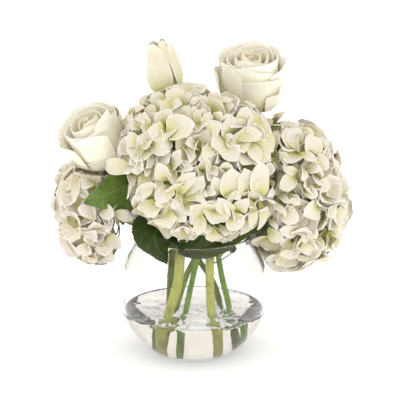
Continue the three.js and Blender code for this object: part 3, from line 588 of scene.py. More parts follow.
HYDRANGEA = petal_material(
    "hydrangea_petal",
    [
        (0.0, (164, 176, 66)), (0.18, (198, 202, 108)), (0.38, (215, 212, 161)), (0.62, (223, 217, 196)),
        (1.0, (230, 225, 214)),
    ],
    (255, 249, 228), (246, 240, 248), (214, 212, 128), 0.55, 0.62, 0.16,
)
HYDRANGEA_CREAM = petal_material(
    "hydrangea_petal_cream",
    [
        (0.0, (172, 184, 76)), (0.18, (206, 209, 122)), (0.38, (224, 220, 177)), (0.62, (231, 225, 207)),
        (1.0, (237, 231, 222)),
    ],
    (255, 249, 230), (246, 240, 248), (220, 219, 146), 0.55, 0.55, 0.14,
)
HYDRANGEA_WHITE = petal_material(
    "hydrangea_petal_white",
    [
        (0.0, (180, 184, 98)), (0.18, (208, 205, 142)), (0.38, (220, 213, 182)), (0.62, (226, 218, 205)),
        (1.0, (231, 224, 216)),
    ],
    (255, 249, 232), (246, 240, 248), (218, 214, 146), 0.55, 0.6, 0.12,
)
ROSE = petal_material(
    "rose_petal",
    [
        (0.0, (206, 206, 112)), (0.16, (242, 234, 176)), (0.42, (253, 247, 222)), (0.75, (255, 251, 234)),
        (1.0, (255, 253, 241)),
    ],
    (254, 245, 220), (252, 246, 232), (250, 230, 152), 0.5, 0.7, 0.04,
)
TULIP_LOOK = petal_material(
    "tulip_petal",
    [
        (0.0, (132, 176, 44)), (0.2, (172, 198, 76)), (0.4, (226, 226, 178)), (0.7, (240, 233, 213)),
        (1.0, (232, 222, 192)),
    ],
    (246, 230, 206), (244, 240, 226), (206, 198, 140), 0.42, 0.45, 0.07,
)
# The heads' petal colours differ partly in their own tone and partly as painted light: the centre head, lit
# most, has the darkest petals, and the side heads, more in shade, lighter ones, above all in their foot and
# shade colours
PETAL_LOOKS = dict(
    hydrangea_centre=HYDRANGEA, hydrangea_right=HYDRANGEA_CREAM, hydrangea_left=HYDRANGEA_WHITE,
)
INNER_GREEN = core_material()
STALK_GREEN = stem_material("floret_stalk", (170, 184, 96), (206, 214, 140), (120, 132, 60))
PALE_STEM = stem_material("pale_stem", (210, 218, 80), (234, 238, 146), (160, 176, 52))
GREEN_STEM = stem_material("green_stem", (108, 170, 44), (182, 210, 100), (72, 124, 30))
DARK_STEM = stem_material("dark_stem", (108, 122, 32), (146, 158, 62), (60, 74, 20))
OLIVE_STEM = stem_material("olive_stem", (146, 162, 46), (186, 198, 82), (92, 106, 30))
SEPAL_GREEN = stem_material("sepal_green", (92, 108, 70), (120, 136, 90), (60, 74, 46))
LEAF_RIM = leaf_material("leaf_rim_green", (46, 64, 24), (82, 102, 40), (120, 136, 76))
LEAF_GREEN = leaf_material("leaf_green", (76, 104, 40), (112, 140, 66), (150, 170, 104))
LEAF_DARK = leaf_material("leaf_dark", (30, 44, 16), (56, 76, 30), (98, 114, 62))
BUD_GREEN = stem_material("bud_green", (112, 118, 52), (152, 154, 84), (70, 72, 34))
GLASS = clear_material("clear_glass", (253, 252, 250), 1.46, 14.0, 0.0004, 0.06, (112, 92, 60), 9.0, 0.45)
WATER = clear_material(
    "water_clear", (254, 252, 250), 1.333, 46.0, 0.013, 1.0, (226, 210, 182), 2.6, 1.0, RIPPLED_FROM,
)


# Bowl and water
def wall_radius(height, inset):
    reach = np.where(height < GLASS_WIDEST, LOWER_REACH, UPPER_REACH) - inset
    return (GLASS_RADIUS - inset) * np.sqrt(1 - ((height - GLASS_WIDEST) / reach) ** 2)


def wall_heights(low):
    """Heights up the wall, closest together at its foot, to where the rim begins."""
    below = low + np.linspace(0, 1, 24) ** 1.6 * (GLASS_WIDEST - low)
    return np.concatenate([below, np.linspace(GLASS_WIDEST, GLASS_HEIGHT - RIM_ROUND, 22)[1:]])


def turned(piece, profile, sides=128):
    """A closed body turned about the Z axis from a profile that starts and ends on it."""
    rings = [flat_ring(radius, height, sides) for radius, height in profile[1:-1]]
    points = np.vstack([*rings, profile[0][1] * UP, profile[-1][1] * UP])
    piece.add(points, ring_faces(len(rings), sides), np.ones((len(points), 4)))


def glass_bowl():
    base = wall_radius(0.0, 0)
    outer = [(wall_radius(z, 0), z) for z in wall_heights(0)]
    inner = [(wall_radius(z, GLASS_WALL), z) for z in wall_heights(GLASS_FLOOR + FLOOR_FILLET)]
    middle = (outer[-1][0] + inner[-1][0]) / 2
    half = (outer[-1][0] - inner[-1][0]) / 2
    rim = [
        (middle + half * math.cos(a), GLASS_HEIGHT - RIM_ROUND + RIM_ROUND * math.sin(a))
        for a in np.linspace(0, np.pi, 9)[1:-1]
    ]
    floor = [(inner[0][0] * share, GLASS_FLOOR + FLOOR_FILLET * share**3) for share in (0.92, 0.75, 0.5, 0.2)]
    under = [(base * 0.5, 0.0), (base - 1.5, 0.0)]
    piece = Piece()
    turned(piece, [(0, 0)] + under + outer + rim + inner[::-1] + floor + [(0, GLASS_FLOOR)])
    return piece.build("glass_bowl_clear", [GLASS], "clear_glass", "glass_bowl")


def water():
    """The water runs a hair into the glass, so that light passes from one to the other."""
    low, under = GLASS_FLOOR + WATER_FILLET, GLASS_FLOOR - INTO_GLASS
    heights = np.linspace(0, 1, 26) ** 1.5 * (WATER_LEVEL - low) + low
    side = [(wall_radius(z, GLASS_WALL - INTO_GLASS), z) for z in heights]
    edge = side[-1][0]
    top = [
        (edge * share, WATER_LEVEL - WATER_DIP * (1 - math.exp(-(1 - share) * edge / (2 * WATER_DIP))))
        for share in (0.99, 0.975, 0.955, 0.93, 0.88, 0.7, 0.4)
    ]
    bottom = [(side[0][0] * share, under + (low - under) * share**3) for share in (0.2, 0.5, 0.75, 0.92)]
    piece = Piece()
    turned(piece, [(0, under)] + bottom + side + top + [(0, WATER_LEVEL - WATER_DIP)])
    return piece.build("water_still", [WATER], "water", "water")


# Stems
def stem(piece, name, look=0, sides=20):
    """A stem along its route, a little uneven, with low swellings where leaves once grew."""
    random = np.random.default_rng(len(name) * 7 + ord(name[-1]))
    radius = STEM_RADII.get(name, SLIM_STEM)
    path = curve(STEM_ROUTES[name], 60)
    share = np.linspace(0, 1, len(path))
    radii = radius * (0.96 + 0.03 * np.sin(share * 19 + random.random() * 6))
    for place in random.uniform(0.1, 0.9, 3):
        radii = radii + radius * 0.12 * np.exp(-(((share - place) / 0.012) ** 2))
    piece.tube(path, radii, (0, 0.5, 1, random.random()), sides, look)


# Tiny buds on thin twigs, below the left head and on the right one's stem: the twig's way and the bud's size
BUDS = {
    "hydrangea_left": [
        ([(-82, -4, 150), (-79, -15, 141), (-80.5, -24, 134), (-85.5, -26, 131)], 1.8),
        ([(-82, -4, 150), (-78, -14, 138), (-79.5, -23, 128), (-85.5, -26, 123.5)], 1.8),
    ],
    "hydrangea_right_stem": [
        ([(21.5, -14, 100), (26, -20, 103), (33, -28, 110), (38, -32, 115), (40.5, -33, 119.5)], 3.2),
        ([(24, -18, 101.5), (27, -22, 107), (31, -26, 114), (36, -30, 119)], 1.1),
    ],
}


def twigs(piece, name, look):
    for way, size in BUDS.get(name, ()):
        twig = curve(way, 14)
        piece.tube(twig, np.linspace(0.8, 0.55, 14), (0, 0.5, 1, 0.5), 8, look)
        piece.ball(twig[-1], np.array([1, 1, 1.35]) * size, twig[-1] - twig[-2], (0, 0.5, 1, 0.5), look)


def plain_stem(name, material, slot, *nodes):
    piece = Piece()
    stem(piece, name)
    twigs(piece, f"{name}_stem", 1)
    return piece.build(f"{name}_stem_grown", [material, BUD_GREEN], slot, *nodes)


def rose_stem(name, bloom, material, slot):
    """The stem with a swollen cup and five curved sepals under the bloom."""
    piece = Piece()
    stem(piece, name)
    facing = unit(bloom["facing"])
    side, other = square_to(facing)
    foot = np.asarray(bloom["foot"], float) - 0.3 * facing
    steps = np.linspace(0, 1, 9)
    cup = [foot - facing * 8 * (1 - share) for share in steps]
    piece.tube(cup, 2.8 + 3.4 * np.sin(steps * 2.0) ** 1.5, (0, 0.5, 1, 0.3), 20, 1)
    share = np.linspace(0, 1, 10)
    reach = np.interp(share, [0, 0.35, 1], [3, 9.5, 17])
    drop = np.interp(share, [0, 0.35, 1], [2.5, 4.5, 13.5])
    half = 3.4 * np.sin(np.pi * (0.12 + 0.88 * share) ** 0.8) ** 0.7 + 0.15
    across = np.linspace(-1, 1, 5)
    for index in range(5):
        angle = index / 5 * 2 * np.pi + bloom["turn"]
        out = side * math.cos(angle) + other * math.sin(angle)
        middle = foot + np.outer(reach, out) - np.outer(drop, facing)
        sideways = half[:, None, None] * across[None, :, None] * np.cross(facing, out)
        grid = middle[:, None] + sideways + (across**2)[None, :, None] * 0.7 * facing
        marks = np.ones((10, 5, 4)) * (0, 0.5, 1, 0.6)
        piece.sheet(grid, LEAF_THICKNESS, marks, 1)
    return piece.build(f"{name}_stem_grown", [material, SEPAL_GREEN], slot, f"{name}_stem")


# Leaves
def leaf_blade(piece, leaf, teeth=21, rows=84, columns=14, tone=0.5):
    """A toothed blade about a curved rib, quilted between its side veins."""
    rib = curve(leaf["rib"], rows + 1)
    share = np.linspace(0, 1, rows + 1)
    tangent = unit(np.gradient(rib, axis=0))
    side = unit(np.cross(tangent, np.asarray(leaf["up"], float)))
    lift = unit(np.cross(side, tangent))
    saw = (share * teeth) % 1.0
    width = leaf["half"] * np.sin(np.pi * share**0.8).clip(0) ** 0.75 * (1 - 0.075 * saw) + 0.5
    width = width * (1 - leaf.get("taper", 0) * share**3)
    across = np.linspace(-1, 1, columns + 1)
    grid = np.empty((rows + 1, columns + 1, 3))
    marks = np.ones((rows + 1, columns + 1, 4))
    for column, place in enumerate(across):
        sign = 1 if place >= 0 else -1
        bend = leaf["fold"] + 0.06 * np.sin(share * 9 + sign)
        vein = np.abs(np.sin(np.pi * (share * 9 - abs(place) * 1.7)))  # the same veins as the material's
        quilt = 0.9 * vein * (abs(place) * (1 - abs(place)) * 4)
        wave = 0.9 * abs(place) ** 3 * np.sin(share * 31 + 2 * sign)
        height = width * abs(place) ** 1.25 * bend + quilt + wave
        reach = width * place * (1 + max(0, leaf.get("wider", 0) * sign))
        grid[:, column] = rib + side * reach[:, None] + lift * height[:, None]
        marks[:, column, 0] = share
        marks[:, column, 1] = (place + 1) / 2
    marks[..., 2] = 0.5 + 0.5 * np.sin(share * 4)[:, None]
    marks[..., 3] = tone
    piece.sheet(grid, LEAF_THICKNESS, marks)


def leaf(name, material, slot):
    piece = Piece()
    spec = LEAVES[name]
    leaf_blade(piece, spec)
    piece.tube(curve(spec["stalk"], 14), np.linspace(1.3, 1.6, 14), (0, 0.5, 1, 0.5), 10, 1)
    return piece.build(f"{name}_grown", [material, STALK_GREEN], slot, name)


def leafy_stem():
    piece = Piece()
    stem(piece, "leafy", 1)
    for index, spec in enumerate(BACK_LEAVES):
        leaf_blade(piece, spec, 17, 64, 12, 0.3 + 0.2 * index)
    return piece.build("leafy_stem_grown", [LEAF_DARK, OLIVE_STEM], "dark_leaf", "leafy_stem_back")


# Hydrangeas
# How near a petal may come to a leaf, and a floret's root to a stem or a leaf
BLADE_ROOM, ROOT_ROOM = 3.0, 9
# How far on average a petal may be drawn in before it is left out
MOST_DRAWN = 4.5
# Points are drawn in from this far under a head's surface, and given painted shade down to this much deeper
SOFT_BAND, SHADE_BAND = 5, 26
# In 400ths of the picture: what a deep gap keeps free around it, and how far down a placed petal's foot and
# tip together may lie for it to keep a share of its own size free
GAP_MARGIN, COVERED_DOWN, COVERED_SHARE = 3.5, 420, 0.34
# No floret grows within a cone round the stem, or where a neighbour leaves less than this share of the head
STEM_CONE, LEAST_ROOM = 0.93, 0.62
STALK, PLACED_STALK = 28, 26
CORE_BUMP = 4
# How far along its length a petal is widest
ROUND_FROM = 0.56
# Gaps and placed petals count only for what lies in front of this plane
FRONT = 10
# Where the photograph shows the centre head greener and deeper in, its florets get painted shade in the
# deeper yellow-green: across and down, and how far around
DEEP_SHADE_AT, DEEP_SHADE_REACH = (183, 168), 34
# A single petal that hangs out over the leaf, from its foot in the head to its tip
HANGING_PETAL = np.array([-58.0, -60, 209.5]), np.array([-88.8, -45, 212.3])


def sepal_width(share):
    """Half width of a round hydrangea petal from its narrow foot to its tip, as a share of the widest."""
    low = 0.2 + 0.8 * np.sin(np.pi / 2 * np.minimum(1, share / ROUND_FROM)) ** 1.1
    high = np.sqrt(np.maximum(0, 1 - (np.maximum(0, share - ROUND_FROM) / 0.45) ** 2.3))
    return np.where(share < ROUND_FROM, low, high).clip(0.1)


def petal_grid(root, out, around, normal, shape, rows, columns):
    """One hydrangea petal: shape holds its length, half width, rise, curl, cup, wave and phase."""
    share = 1 - (1 - np.linspace(0, 1, rows + 1)[:, None]) ** 1.5
    spread = np.pi / 2 * 0.9
    across = np.sin(np.linspace(-1, 1, columns + 1)[None, :] * spread) / math.sin(spread)
    slope = shape["rise"] + shape["curl"] * share
    steps = np.diff(share, axis=0, prepend=0) * shape["length"]
    sine, cosine = np.sin(slope), np.cos(slope)
    edge, phase = np.abs(across), shape["phase"]
    width = shape["half"] * sepal_width(share) * (1 + 0.06 * np.sin(phase + 8 * share + 2 * np.sign(across)))
    lift = shape["cup"] * width * edge**2
    lift = lift + shape["wave"] * share * edge**1.5 * np.sin(phase + 5 * share + 2.4 * across)
    back = 0.08 * shape["length"] * edge**2.4 * share**3
    forward = np.cumsum(steps * cosine, axis=0) - back * cosine - lift * sine
    upward = np.cumsum(steps * sine, axis=0) - back * sine + lift * cosine
    sideways = width * across
    grid = root + forward[..., None] * out + upward[..., None] * normal + sideways[..., None] * around
    marks = np.ones((rows + 1, columns + 1, 4))
    marks[..., 0] = share
    marks[..., 1] = (across + 1) / 2
    return grid, marks


def seen_at(point):
    """Where the photograph shows a point: across and down."""
    away = point - EYE
    depth = away[1] * math.cos(TILT) - away[2] * math.sin(TILT)
    lift = away[1] * math.sin(TILT) + away[2] * math.cos(TILT)
    return PICTURE / 2 + PICTURE * LENS * away[0] / depth, PICTURE / 2 - PICTURE * LENS * lift / depth


def in_gap(points, clear, placed):
    """Whether a petal lies over a gap or a placed petal, or where the photograph shows none of this head."""
    middle = points.reshape(-1, 3).mean(axis=0)
    across, down = seen_at(middle)
    left, right, top = clear
    if left < across < right and down > top:
        return True
    return middle[1] < FRONT and any(math.hypot(across - u, down - v) < r for u, v, r in placed)


def floret(piece, place, limit, random):
    """Four broad petals round a small eye, on a stalk that runs down into the head."""
    root, facing, ray = place["root"], place["facing"], place["ray"]
    first, second = square_to(facing)
    tone, kept = random.random(), 0
    for index in range(4):
        angle = place["spin"] + index * np.pi / 2 + random.uniform(-0.16, 0.16)
        out = first * math.cos(angle) + second * math.sin(angle)
        length = place["size"] * random.uniform(0.88, 1.12)
        least = math.acos(min(0.99, max(0.25, 1.9 * place["room"](out) / length)))
        rise = max(least, place["rise"] + random.uniform(-0.25, 0.25))
        shape = dict(
            length=length, half=length * random.uniform(0.44, 0.56), rise=rise * 1.35,
            curl=random.uniform(-1.1, -0.4) * rise, cup=random.uniform(0.1, 0.6),
            wave=random.uniform(1.0, 3.6), phase=random.uniform(0, 6.3),
        )
        start = root + out * 1.2 + facing * (0.7 if index % 2 else 0)
        grid, marks = petal_grid(start, out, np.cross(facing, out), facing, shape, *place["mesh"])
        free = grid
        grid, light = limit(free, place["more"] + random.uniform(-4, 2))
        drawn = np.linalg.norm(grid - free, axis=2).mean()
        near = np.linalg.norm(BLADES[:, None] - grid[::2, ::2].reshape(1, -1, 3), axis=2).min()
        if drawn > MOST_DRAWN or near < BLADE_ROOM or in_gap(grid, *place["clear"]):
            continue
        # Painted shade: the light mark falls with depth, on a shaded shell and near the greener middle
        marks[..., 2] = light * place["light"]
        marks[..., 3] = (tone + random.uniform(-0.2, 0.2)) % 1.0
        piece.sheet(grid, PETAL_THICKNESS, marks)
        kept += 1
    if not kept:
        return
    piece.ball(root + facing * 0.9, 1.5, facing, (0, 0.5, 1, 0.2), 1, 4, 8)
    middle = root - facing * 4 - ray * 3
    piece.tube([root, middle, root - ray * STALK], [1.3, 0.95, 1.1], (0, 0.5, 1, tone), 6, 1)


def surface(rays, head):
    """How far a head's own surface lies along each ray, with its broad shallow dents."""
    scaled = np.abs(rays / np.asarray(head["reach"], float)) ** head["fullness"]
    far = scaled.sum(axis=-1) ** (-1 / head["fullness"])
    for towards, amount, narrow in head["dents"]:
        far = far - amount * np.exp(-narrow * (1 - rays @ unit(towards)))
    return far


def clear_length(start, rays, middle, reach):
    """How far each ray runs before it meets a neighbour's ellipsoid, or a very long way."""
    origin = (start - np.asarray(middle, float)) / reach
    step = rays / reach
    a = (step * step).sum(axis=-1)
    b = (step * origin).sum(axis=-1)
    root = b * b - a * ((origin * origin).sum() - 1)
    near = (-b - np.sqrt(np.maximum(root, 0))) / a
    return np.where((root > 0) & (near > 0), near, 1e4)


def head_limit(head, neighbours):
    """Draws points back softly within a head's own surface and clear of its neighbours, and gives each a
    light mark for painted shade, lower the deeper it lies.
    """
    centre = np.asarray(head["middle"], float)

    def reach_along(rays, more=0.0):
        own = surface(rays, head) + more
        for middle, reach in neighbours:
            own = np.minimum(own, clear_length(centre, rays, middle, np.asarray(reach, float)))
        return own

    def limit(points, more):
        ray = points - centre
        length = np.linalg.norm(ray, axis=-1)
        rays = ray / length[..., None]
        own = reach_along(rays, 4.0 + more * (1 - np.abs(rays[..., 1])) ** 0.7)
        start = own - SOFT_BAND
        over = np.maximum(length - start, 0)
        drawn = np.where(length > start, start + SOFT_BAND * np.tanh(over / 7), length)
        light = np.clip(1 - (start - drawn) / SHADE_BAND, 0, 1)
        return centre + rays * drawn[..., None], light

    return limit, reach_along


def ball_directions(count, turn):
    """Directions spread evenly over a ball, in a spiral."""
    index = np.arange(count)
    height = 1 - (2 * (index + 0.5)) / count
    flat = np.sqrt(1 - height**2)
    angle = index * np.pi * (3 - math.sqrt(5)) + turn
    return np.column_stack([flat * np.cos(angle), flat * np.sin(angle), height])


def blade_points(leaf):
    """Points all over a leaf, for what has to stay clear of it."""
    rib = curve(leaf["rib"], 16)
    side = unit(np.cross(unit(np.gradient(rib, axis=0)), np.asarray(leaf["up"], float)))
    width = leaf["half"] * np.sin(np.pi * np.linspace(0, 1, 16) ** 0.8).clip(0) ** 0.75
    return np.vstack([rib + side * (width * place)[:, None] for place in np.linspace(-1, 1, 9)])


WAYS = np.vstack([curve(route, 60) for route in STEM_ROUTES.values()])
BLADES = np.vstack([blade_points(spec) for spec in [*LEAVES.values(), *BACK_LEAVES]])


def shell_places(head, reach_along, count, depth, size, stem_ray, random, turn):
    """Roots of the florets of one shell of a head, even over it, clear of stems and leaves."""
    centre, sizes = np.asarray(head["middle"], float), np.asarray(head["reach"], float)
    places = []
    for direction in ball_directions(count, turn):
        direction = unit(direction + random.normal(0, 0.05, 3))
        ray = unit(direction * sizes)
        own = float(surface(ray[None], head)[0])
        room = float(reach_along(ray[None])[0])
        rise = random.uniform(0.25, 1.1)
        faced = max(0, float(np.dot(unit(EYE - centre), ray)))
        length = min(own, room) - depth - 5 * faced**0.5
        length = length - size * math.sin(0.85 * rise) * 0.8 - random.uniform(2, 7)
        root = centre + ray * length
        if np.dot(ray, stem_ray) > STEM_CONE or room < own * LEAST_ROOM:
            continue
        if min(np.linalg.norm(others - root, axis=1).min() for others in (WAYS, BLADES)) < ROOT_ROOM:
            continue
        facing = unit(unit(direction / sizes) + 0.2 * unit(EYE - centre) + random.normal(0, 0.28, 3))
        places.append(dict(root=root, ray=ray, facing=facing, rise=rise))
    return places


def cell_room(place, roots):
    """The distance from a root, in a given direction, to half way to its neighbours."""
    apart = roots - place["root"]
    squares = (apart**2).sum(axis=1)
    apart, squares = apart[squares > 1], squares[squares > 1]

    def room(out):
        towards = apart @ out
        ahead = towards > 0.35 * np.sqrt(squares)
        return float(np.min(squares[ahead] / 2 / towards[ahead])) if ahead.any() else 40.0

    return room


def hydrangea(name, head, neighbours, shells, placed, seed):
    """A mophead: shells of florets over a smaller core. A shell darkened by painted shade may lie under the
    placed petals.
    """
    random = np.random.default_rng(seed)
    limit, reach_along = head_limit(head, neighbours)
    centre = np.asarray(head["middle"], float)
    gaps = [(u, v, r + GAP_MARGIN) for u, v, r in GAPS]
    covered = gaps + [
        ((a + c) / 2, (b + d) / 2, COVERED_SHARE * min(wide, math.hypot(a - c, b - d)))
        for a, b, c, d, wide, *_ in placed if b + d < COVERED_DOWN
    ]
    entry = unit(np.asarray(STEM_ROUTES[name][-2], float) - centre)
    piece = Piece()
    for count, depth, light, size, turn, mesh in shells:
        places = shell_places(head, reach_along, count, depth, size, entry, random, turn)
        roots = np.array([place["root"] for place in places])
        for place in places:
            across, down = seen_at(place["root"])
            # Painted shade: florets near the greener middle of the centre head's front get a lower light mark
            deep_shade = math.exp(-(math.hypot(across - DEEP_SHADE_AT[0], down - DEEP_SHADE_AT[1]) / DEEP_SHADE_REACH) ** 2)
            shade = 0.35 * deep_shade * (place["root"][1] < -30)
            place.update(
                spin=random.uniform(0, np.pi), size=size * random.uniform(0.92, 1.1),
                light=light * (1 - shade), room=cell_room(place, roots), mesh=mesh,
                clear=(CLEAR[name], covered if light == 1 else gaps),
                more=random.uniform(-8, head["loose"]),
            )
            floret(piece, place, limit, random)
    for spec in placed:
        placed_petal(piece, head, limit, spec, random)
    if name == "hydrangea_centre":
        grid, marks = laid_petal(*HANGING_PETAL, EYE, 8.5, 0, 0.2, random)
        piece.sheet(grid, PETAL_THICKNESS, marks)
    twigs(piece, name, 3)
    core(piece, centre, reach_along, head["core"])
    looks = [PETAL_LOOKS[name], STALK_GREEN, INNER_GREEN, BUD_GREEN]
    return piece.build(f"{name}_florets", looks, "hydrangea_petals", f"{name}_head")


def on_head(across, down, head, depth):
    """The point of a head's own surface, or of one under it, that the photograph shows at a place."""
    centre = np.asarray(head["middle"], float)
    right, low = ((value - PICTURE / 2) / PICTURE / LENS for value in (across, down))
    cosine, sine = math.cos(TILT), math.sin(TILT)
    sight = unit(np.array([right, cosine - low * sine, -sine - low * cosine]))
    steps = np.arange(AWAY - 220, AWAY + 60, 0.5)
    points = EYE + steps[:, None] * sight
    rays = points - centre
    length = np.linalg.norm(rays, axis=1)
    over = length - surface(rays / length[:, None], head) + depth
    inside = np.flatnonzero(over < 0)
    return points[inside[0] if len(inside) else np.argmin(over)]


def laid_petal(foot, tip, outward, half, turn, cup, random):
    """A petal from its foot to its tip, its face turned about its length: its grid and marks."""
    out = unit(tip - foot)
    normal = unit(outward - out * np.dot(outward, out))
    side = np.cross(normal, out)
    angle = math.radians(turn)
    cosine, sine = math.cos(angle), math.sin(angle)
    normal, side = normal * cosine + side * sine, side * cosine - normal * sine
    shape = dict(
        length=float(np.linalg.norm(tip - foot)) * 1.06, half=half, rise=0.5, curl=-1.0, cup=cup,
        wave=random.uniform(1.0, 2.0) + 0.12 * half, phase=random.uniform(0, 6.3),
    )
    grid, marks = petal_grid(foot, out, side, normal, shape, 9, 8)
    marks[..., 0] = 0.12 + 0.88 * marks[..., 0]
    marks[..., 3] = random.uniform(0.2, 0.8)
    return grid, marks


def placed_petal(piece, head, limit, spec, random):
    """A petal between two places in the photograph, lying on its head."""
    foot_u, foot_v, tip_u, tip_v, wide, turn, cup, out_by, lightness = spec
    foot, tip = on_head(foot_u, foot_v, head, 8), on_head(tip_u, tip_v, head, -1 - out_by)
    outward = unit((foot + tip) / 2 - head["middle"]) + unit(EYE - foot)
    turn = turn or random.uniform(-28, 28)
    grid, marks = laid_petal(foot, tip, outward, wide / (2 * PER_MM), turn, cup * 1.3, random)
    grid, light = limit(grid, 2.0)
    # Painted shade: a petal below full lightness, and its deeper points, get a lower light mark
    marks[..., 2] = light * (lightness * 2 - 1)
    piece.sheet(grid, PETAL_THICKNESS, marks)
    inward = unit(head["middle"] - foot)
    way = [foot - inward, foot + inward * 12, foot + inward * PLACED_STALK]
    piece.tube(way, [1.0, 0.8, 0.9], (0, 0.5, 1, 0.4), 6, 1)


def core(piece, centre, reach_along, inset, rings=22, sides=36):
    """The shaded inside of a head: a bumpy closed ball well under its florets."""
    rays = ball_rings(rings, sides)
    bumps = np.prod(np.sin(rays @ np.array([[9.0, -3.0, 2.0], [4.0, 8.0, -5.0], [3.0, 5.0, 9.0]])), axis=1)
    points = centre + rays * (reach_along(rays) - inset + CORE_BUMP * bumps)[:, None]
    marks = np.tile((0.5, 0.5, 0.3, 0.5), (len(points), 1))
    piece.add(points, ring_faces(rings - 1, sides, other_way=True), marks, 2)


# Roses and tulip
def bloom_petal(bloom, shape, rows, columns):
    """A petal in a bloom's own frame: rising from its foot, rolling out at its lip."""
    facing = unit(bloom["facing"])
    side, other = square_to(facing)
    foot = np.asarray(bloom["foot"], float)
    share = np.linspace(0, 1, rows + 1)[:, None]
    across = np.linspace(-1, 1, columns + 1)[None, :]
    widening = np.sin(np.minimum(1, share * 1.5) * np.pi / 2)
    angle = shape["turn"] + across * shape["spread"] * (0.35 + 0.65 * widening)
    belly = np.sin(np.pi * np.minimum(1, share * shape["open"])) ** 0.45
    rolled = shape["roll"] * np.maximum(0, share - 0.7) ** 1.5
    lip = np.clip((share - 0.84) / 0.16, 0, 1)
    curl = shape.get("lip", 0) * (1 - 0.35 * across**2)
    out = np.maximum(shape["root"], shape["radius"] * belly) + rolled * (1 - 0.4 * across**2)
    out = out + shape["twist"] * across * share + curl * np.sin(lip * np.pi / 2)
    out = out + shape["wave"] * share * np.sin(across * 5 + shape["turn"] * 3)
    out = out - shape.get("crease", 0) * np.exp(-((across / 0.16) ** 2)) * share * (1.2 - share)
    rise = shape["height"] * share ** shape["low"] * (1 - shape["round"] * np.abs(across) ** 2.2 * share) + 2
    rise = rise - curl * 0.8 * (1 - np.cos(lip * np.pi / 2))
    rise = rise + shape["point"] * np.maximum(0, 1 - np.abs(across) * 3) * share**6
    outward = np.cos(angle)[..., None] * side + np.sin(angle)[..., None] * other
    grid = foot + out[..., None] * outward + rise[..., None] * facing
    marks = np.ones((rows + 1, columns + 1, 4))
    marks[..., 0] = share
    marks[..., 1] = (across + 1) / 2
    marks[..., 2] = shape["light"]
    marks[..., 3] = shape["tone"]
    return grid, marks


HEART_AT, HEART_HALF = 4.6, 4.4


def heart(piece, bloom, radius):
    """The small closed egg at a bloom's foot, which its petals grow round."""
    facing = unit(bloom["facing"])
    middle = np.asarray(bloom["foot"]) + facing * HEART_AT
    piece.ball(middle, np.array([radius, radius, HEART_HALF]), facing, (0, 0.5, 1, 0.4))


# From the heart outwards: petals, root, radius, height, open, roll, spread, lip, light (below 1 a petal takes
# the deeper golden colour, partly its warmer tone and partly painted shade towards the heart)
ROSE_LAYERS = [
    (2, 1.5, 0.18, 0.96, 0.93, 0, 2.5, 0.8, 0.2),
    (2, 2.5, 0.36, 1.01, 0.88, 0, 2.0, 1.6, 0.45),
    (3, 3.5, 0.55, 1.02, 0.82, 0, 1.6, 2.4, 0.7),
    (3, 4.5, 0.75, 1.0, 0.74, 2, 1.5, 3.2, 0.95),
]
# The open petals outside, each as in the photograph: turn in degrees, spread, radius, height, roll, lip, open
OPEN_PETALS = {
    "rose_right": [
        (16, 1.0, 0.87, 0.79, 5, 3.4, 0.57), (-60, 0.72, 0.9, 0.97, 2, 2.0, 0.62),
        (-92, 0.5, 1.02, 0.74, 4, 1.5, 0.57), (60, 0.62, 1.0, 0.52, 11, 2.0, 0.57),
        (80, 0.8, 0.9, 0.92, 5, 3.0, 0.6), (130, 0.9, 0.88, 0.96, 4, 3.0, 0.6),
        (182, 0.9, 0.86, 1.0, 3, 2.5, 0.6), (-132, 0.9, 0.88, 0.98, 3, 2.5, 0.6),
        (-14, 1.1, 0.8, 0.95, 2, 3.0, 0.66),
    ],
    "rose_left": [
        (26, 0.85, 0.8, 1.04, 0, 1.2, 0.76), (-50, 0.75, 0.88, 0.94, 2, 3.0, 0.68),
        (-112, 0.7, 0.97, 0.88, 5, 3.0, 0.6), (-36, 1.25, 0.8, 0.46, 11, 4.0, 0.6),
        (58, 0.6, 0.88, 0.96, 3, 2.0, 0.64), (84, 0.6, 0.98, 0.88, 4, 1.5, 0.6),
        (120, 0.85, 0.9, 0.98, 4, 3.0, 0.62), (165, 0.85, 0.88, 1.02, 3, 3.0, 0.64),
        (-155, 0.8, 0.92, 0.96, 4, 3.0, 0.6),
    ],
}


def rose(name, bloom, seed):
    random = np.random.default_rng(seed)
    piece = Piece()
    shapes = []
    for layer, (petals, root, radius, height, opening, roll, spread, lip, light) in enumerate(ROSE_LAYERS):
        for index in range(petals):
            turn = bloom["turn"] + (index + 0.37 * layer) / petals * 2 * np.pi + random.uniform(-0.12, 0.12)
            shapes.append(dict(
                root=root, turn=turn, spread=spread, radius=radius * random.uniform(0.9, 1.08),
                height=height * random.uniform(0.94, 1.02), open=opening, roll=roll,
                lip=lip * random.uniform(0.7, 1.2), light=light,
            ))
    for turn, spread, radius, height, roll, lip, opening in OPEN_PETALS[name]:
        shapes.append(dict(
            root=5.5, turn=math.radians(turn), spread=spread, radius=radius, height=height, open=opening,
            roll=roll, lip=lip, light=1.0,
        ))
    for shape in shapes:
        shape.update(
            radius=shape["radius"] * bloom["radius"], height=shape["height"] * bloom["height"],
            twist=random.uniform(1.4, 2.6), tone=random.uniform(0.25, 0.75), wave=random.uniform(0.6, 1.8),
            low=1.3, round=0.14, point=random.uniform(0, 1.0),
        )
        grid, marks = bloom_petal(bloom, shape, 14, 14)
        piece.sheet(grid, ROSE_THICKNESS, marks)
    heart(piece, bloom, 7.5)
    return piece.build(f"{name}_petals", [ROSE], "rose_petals", f"{name}_bloom")


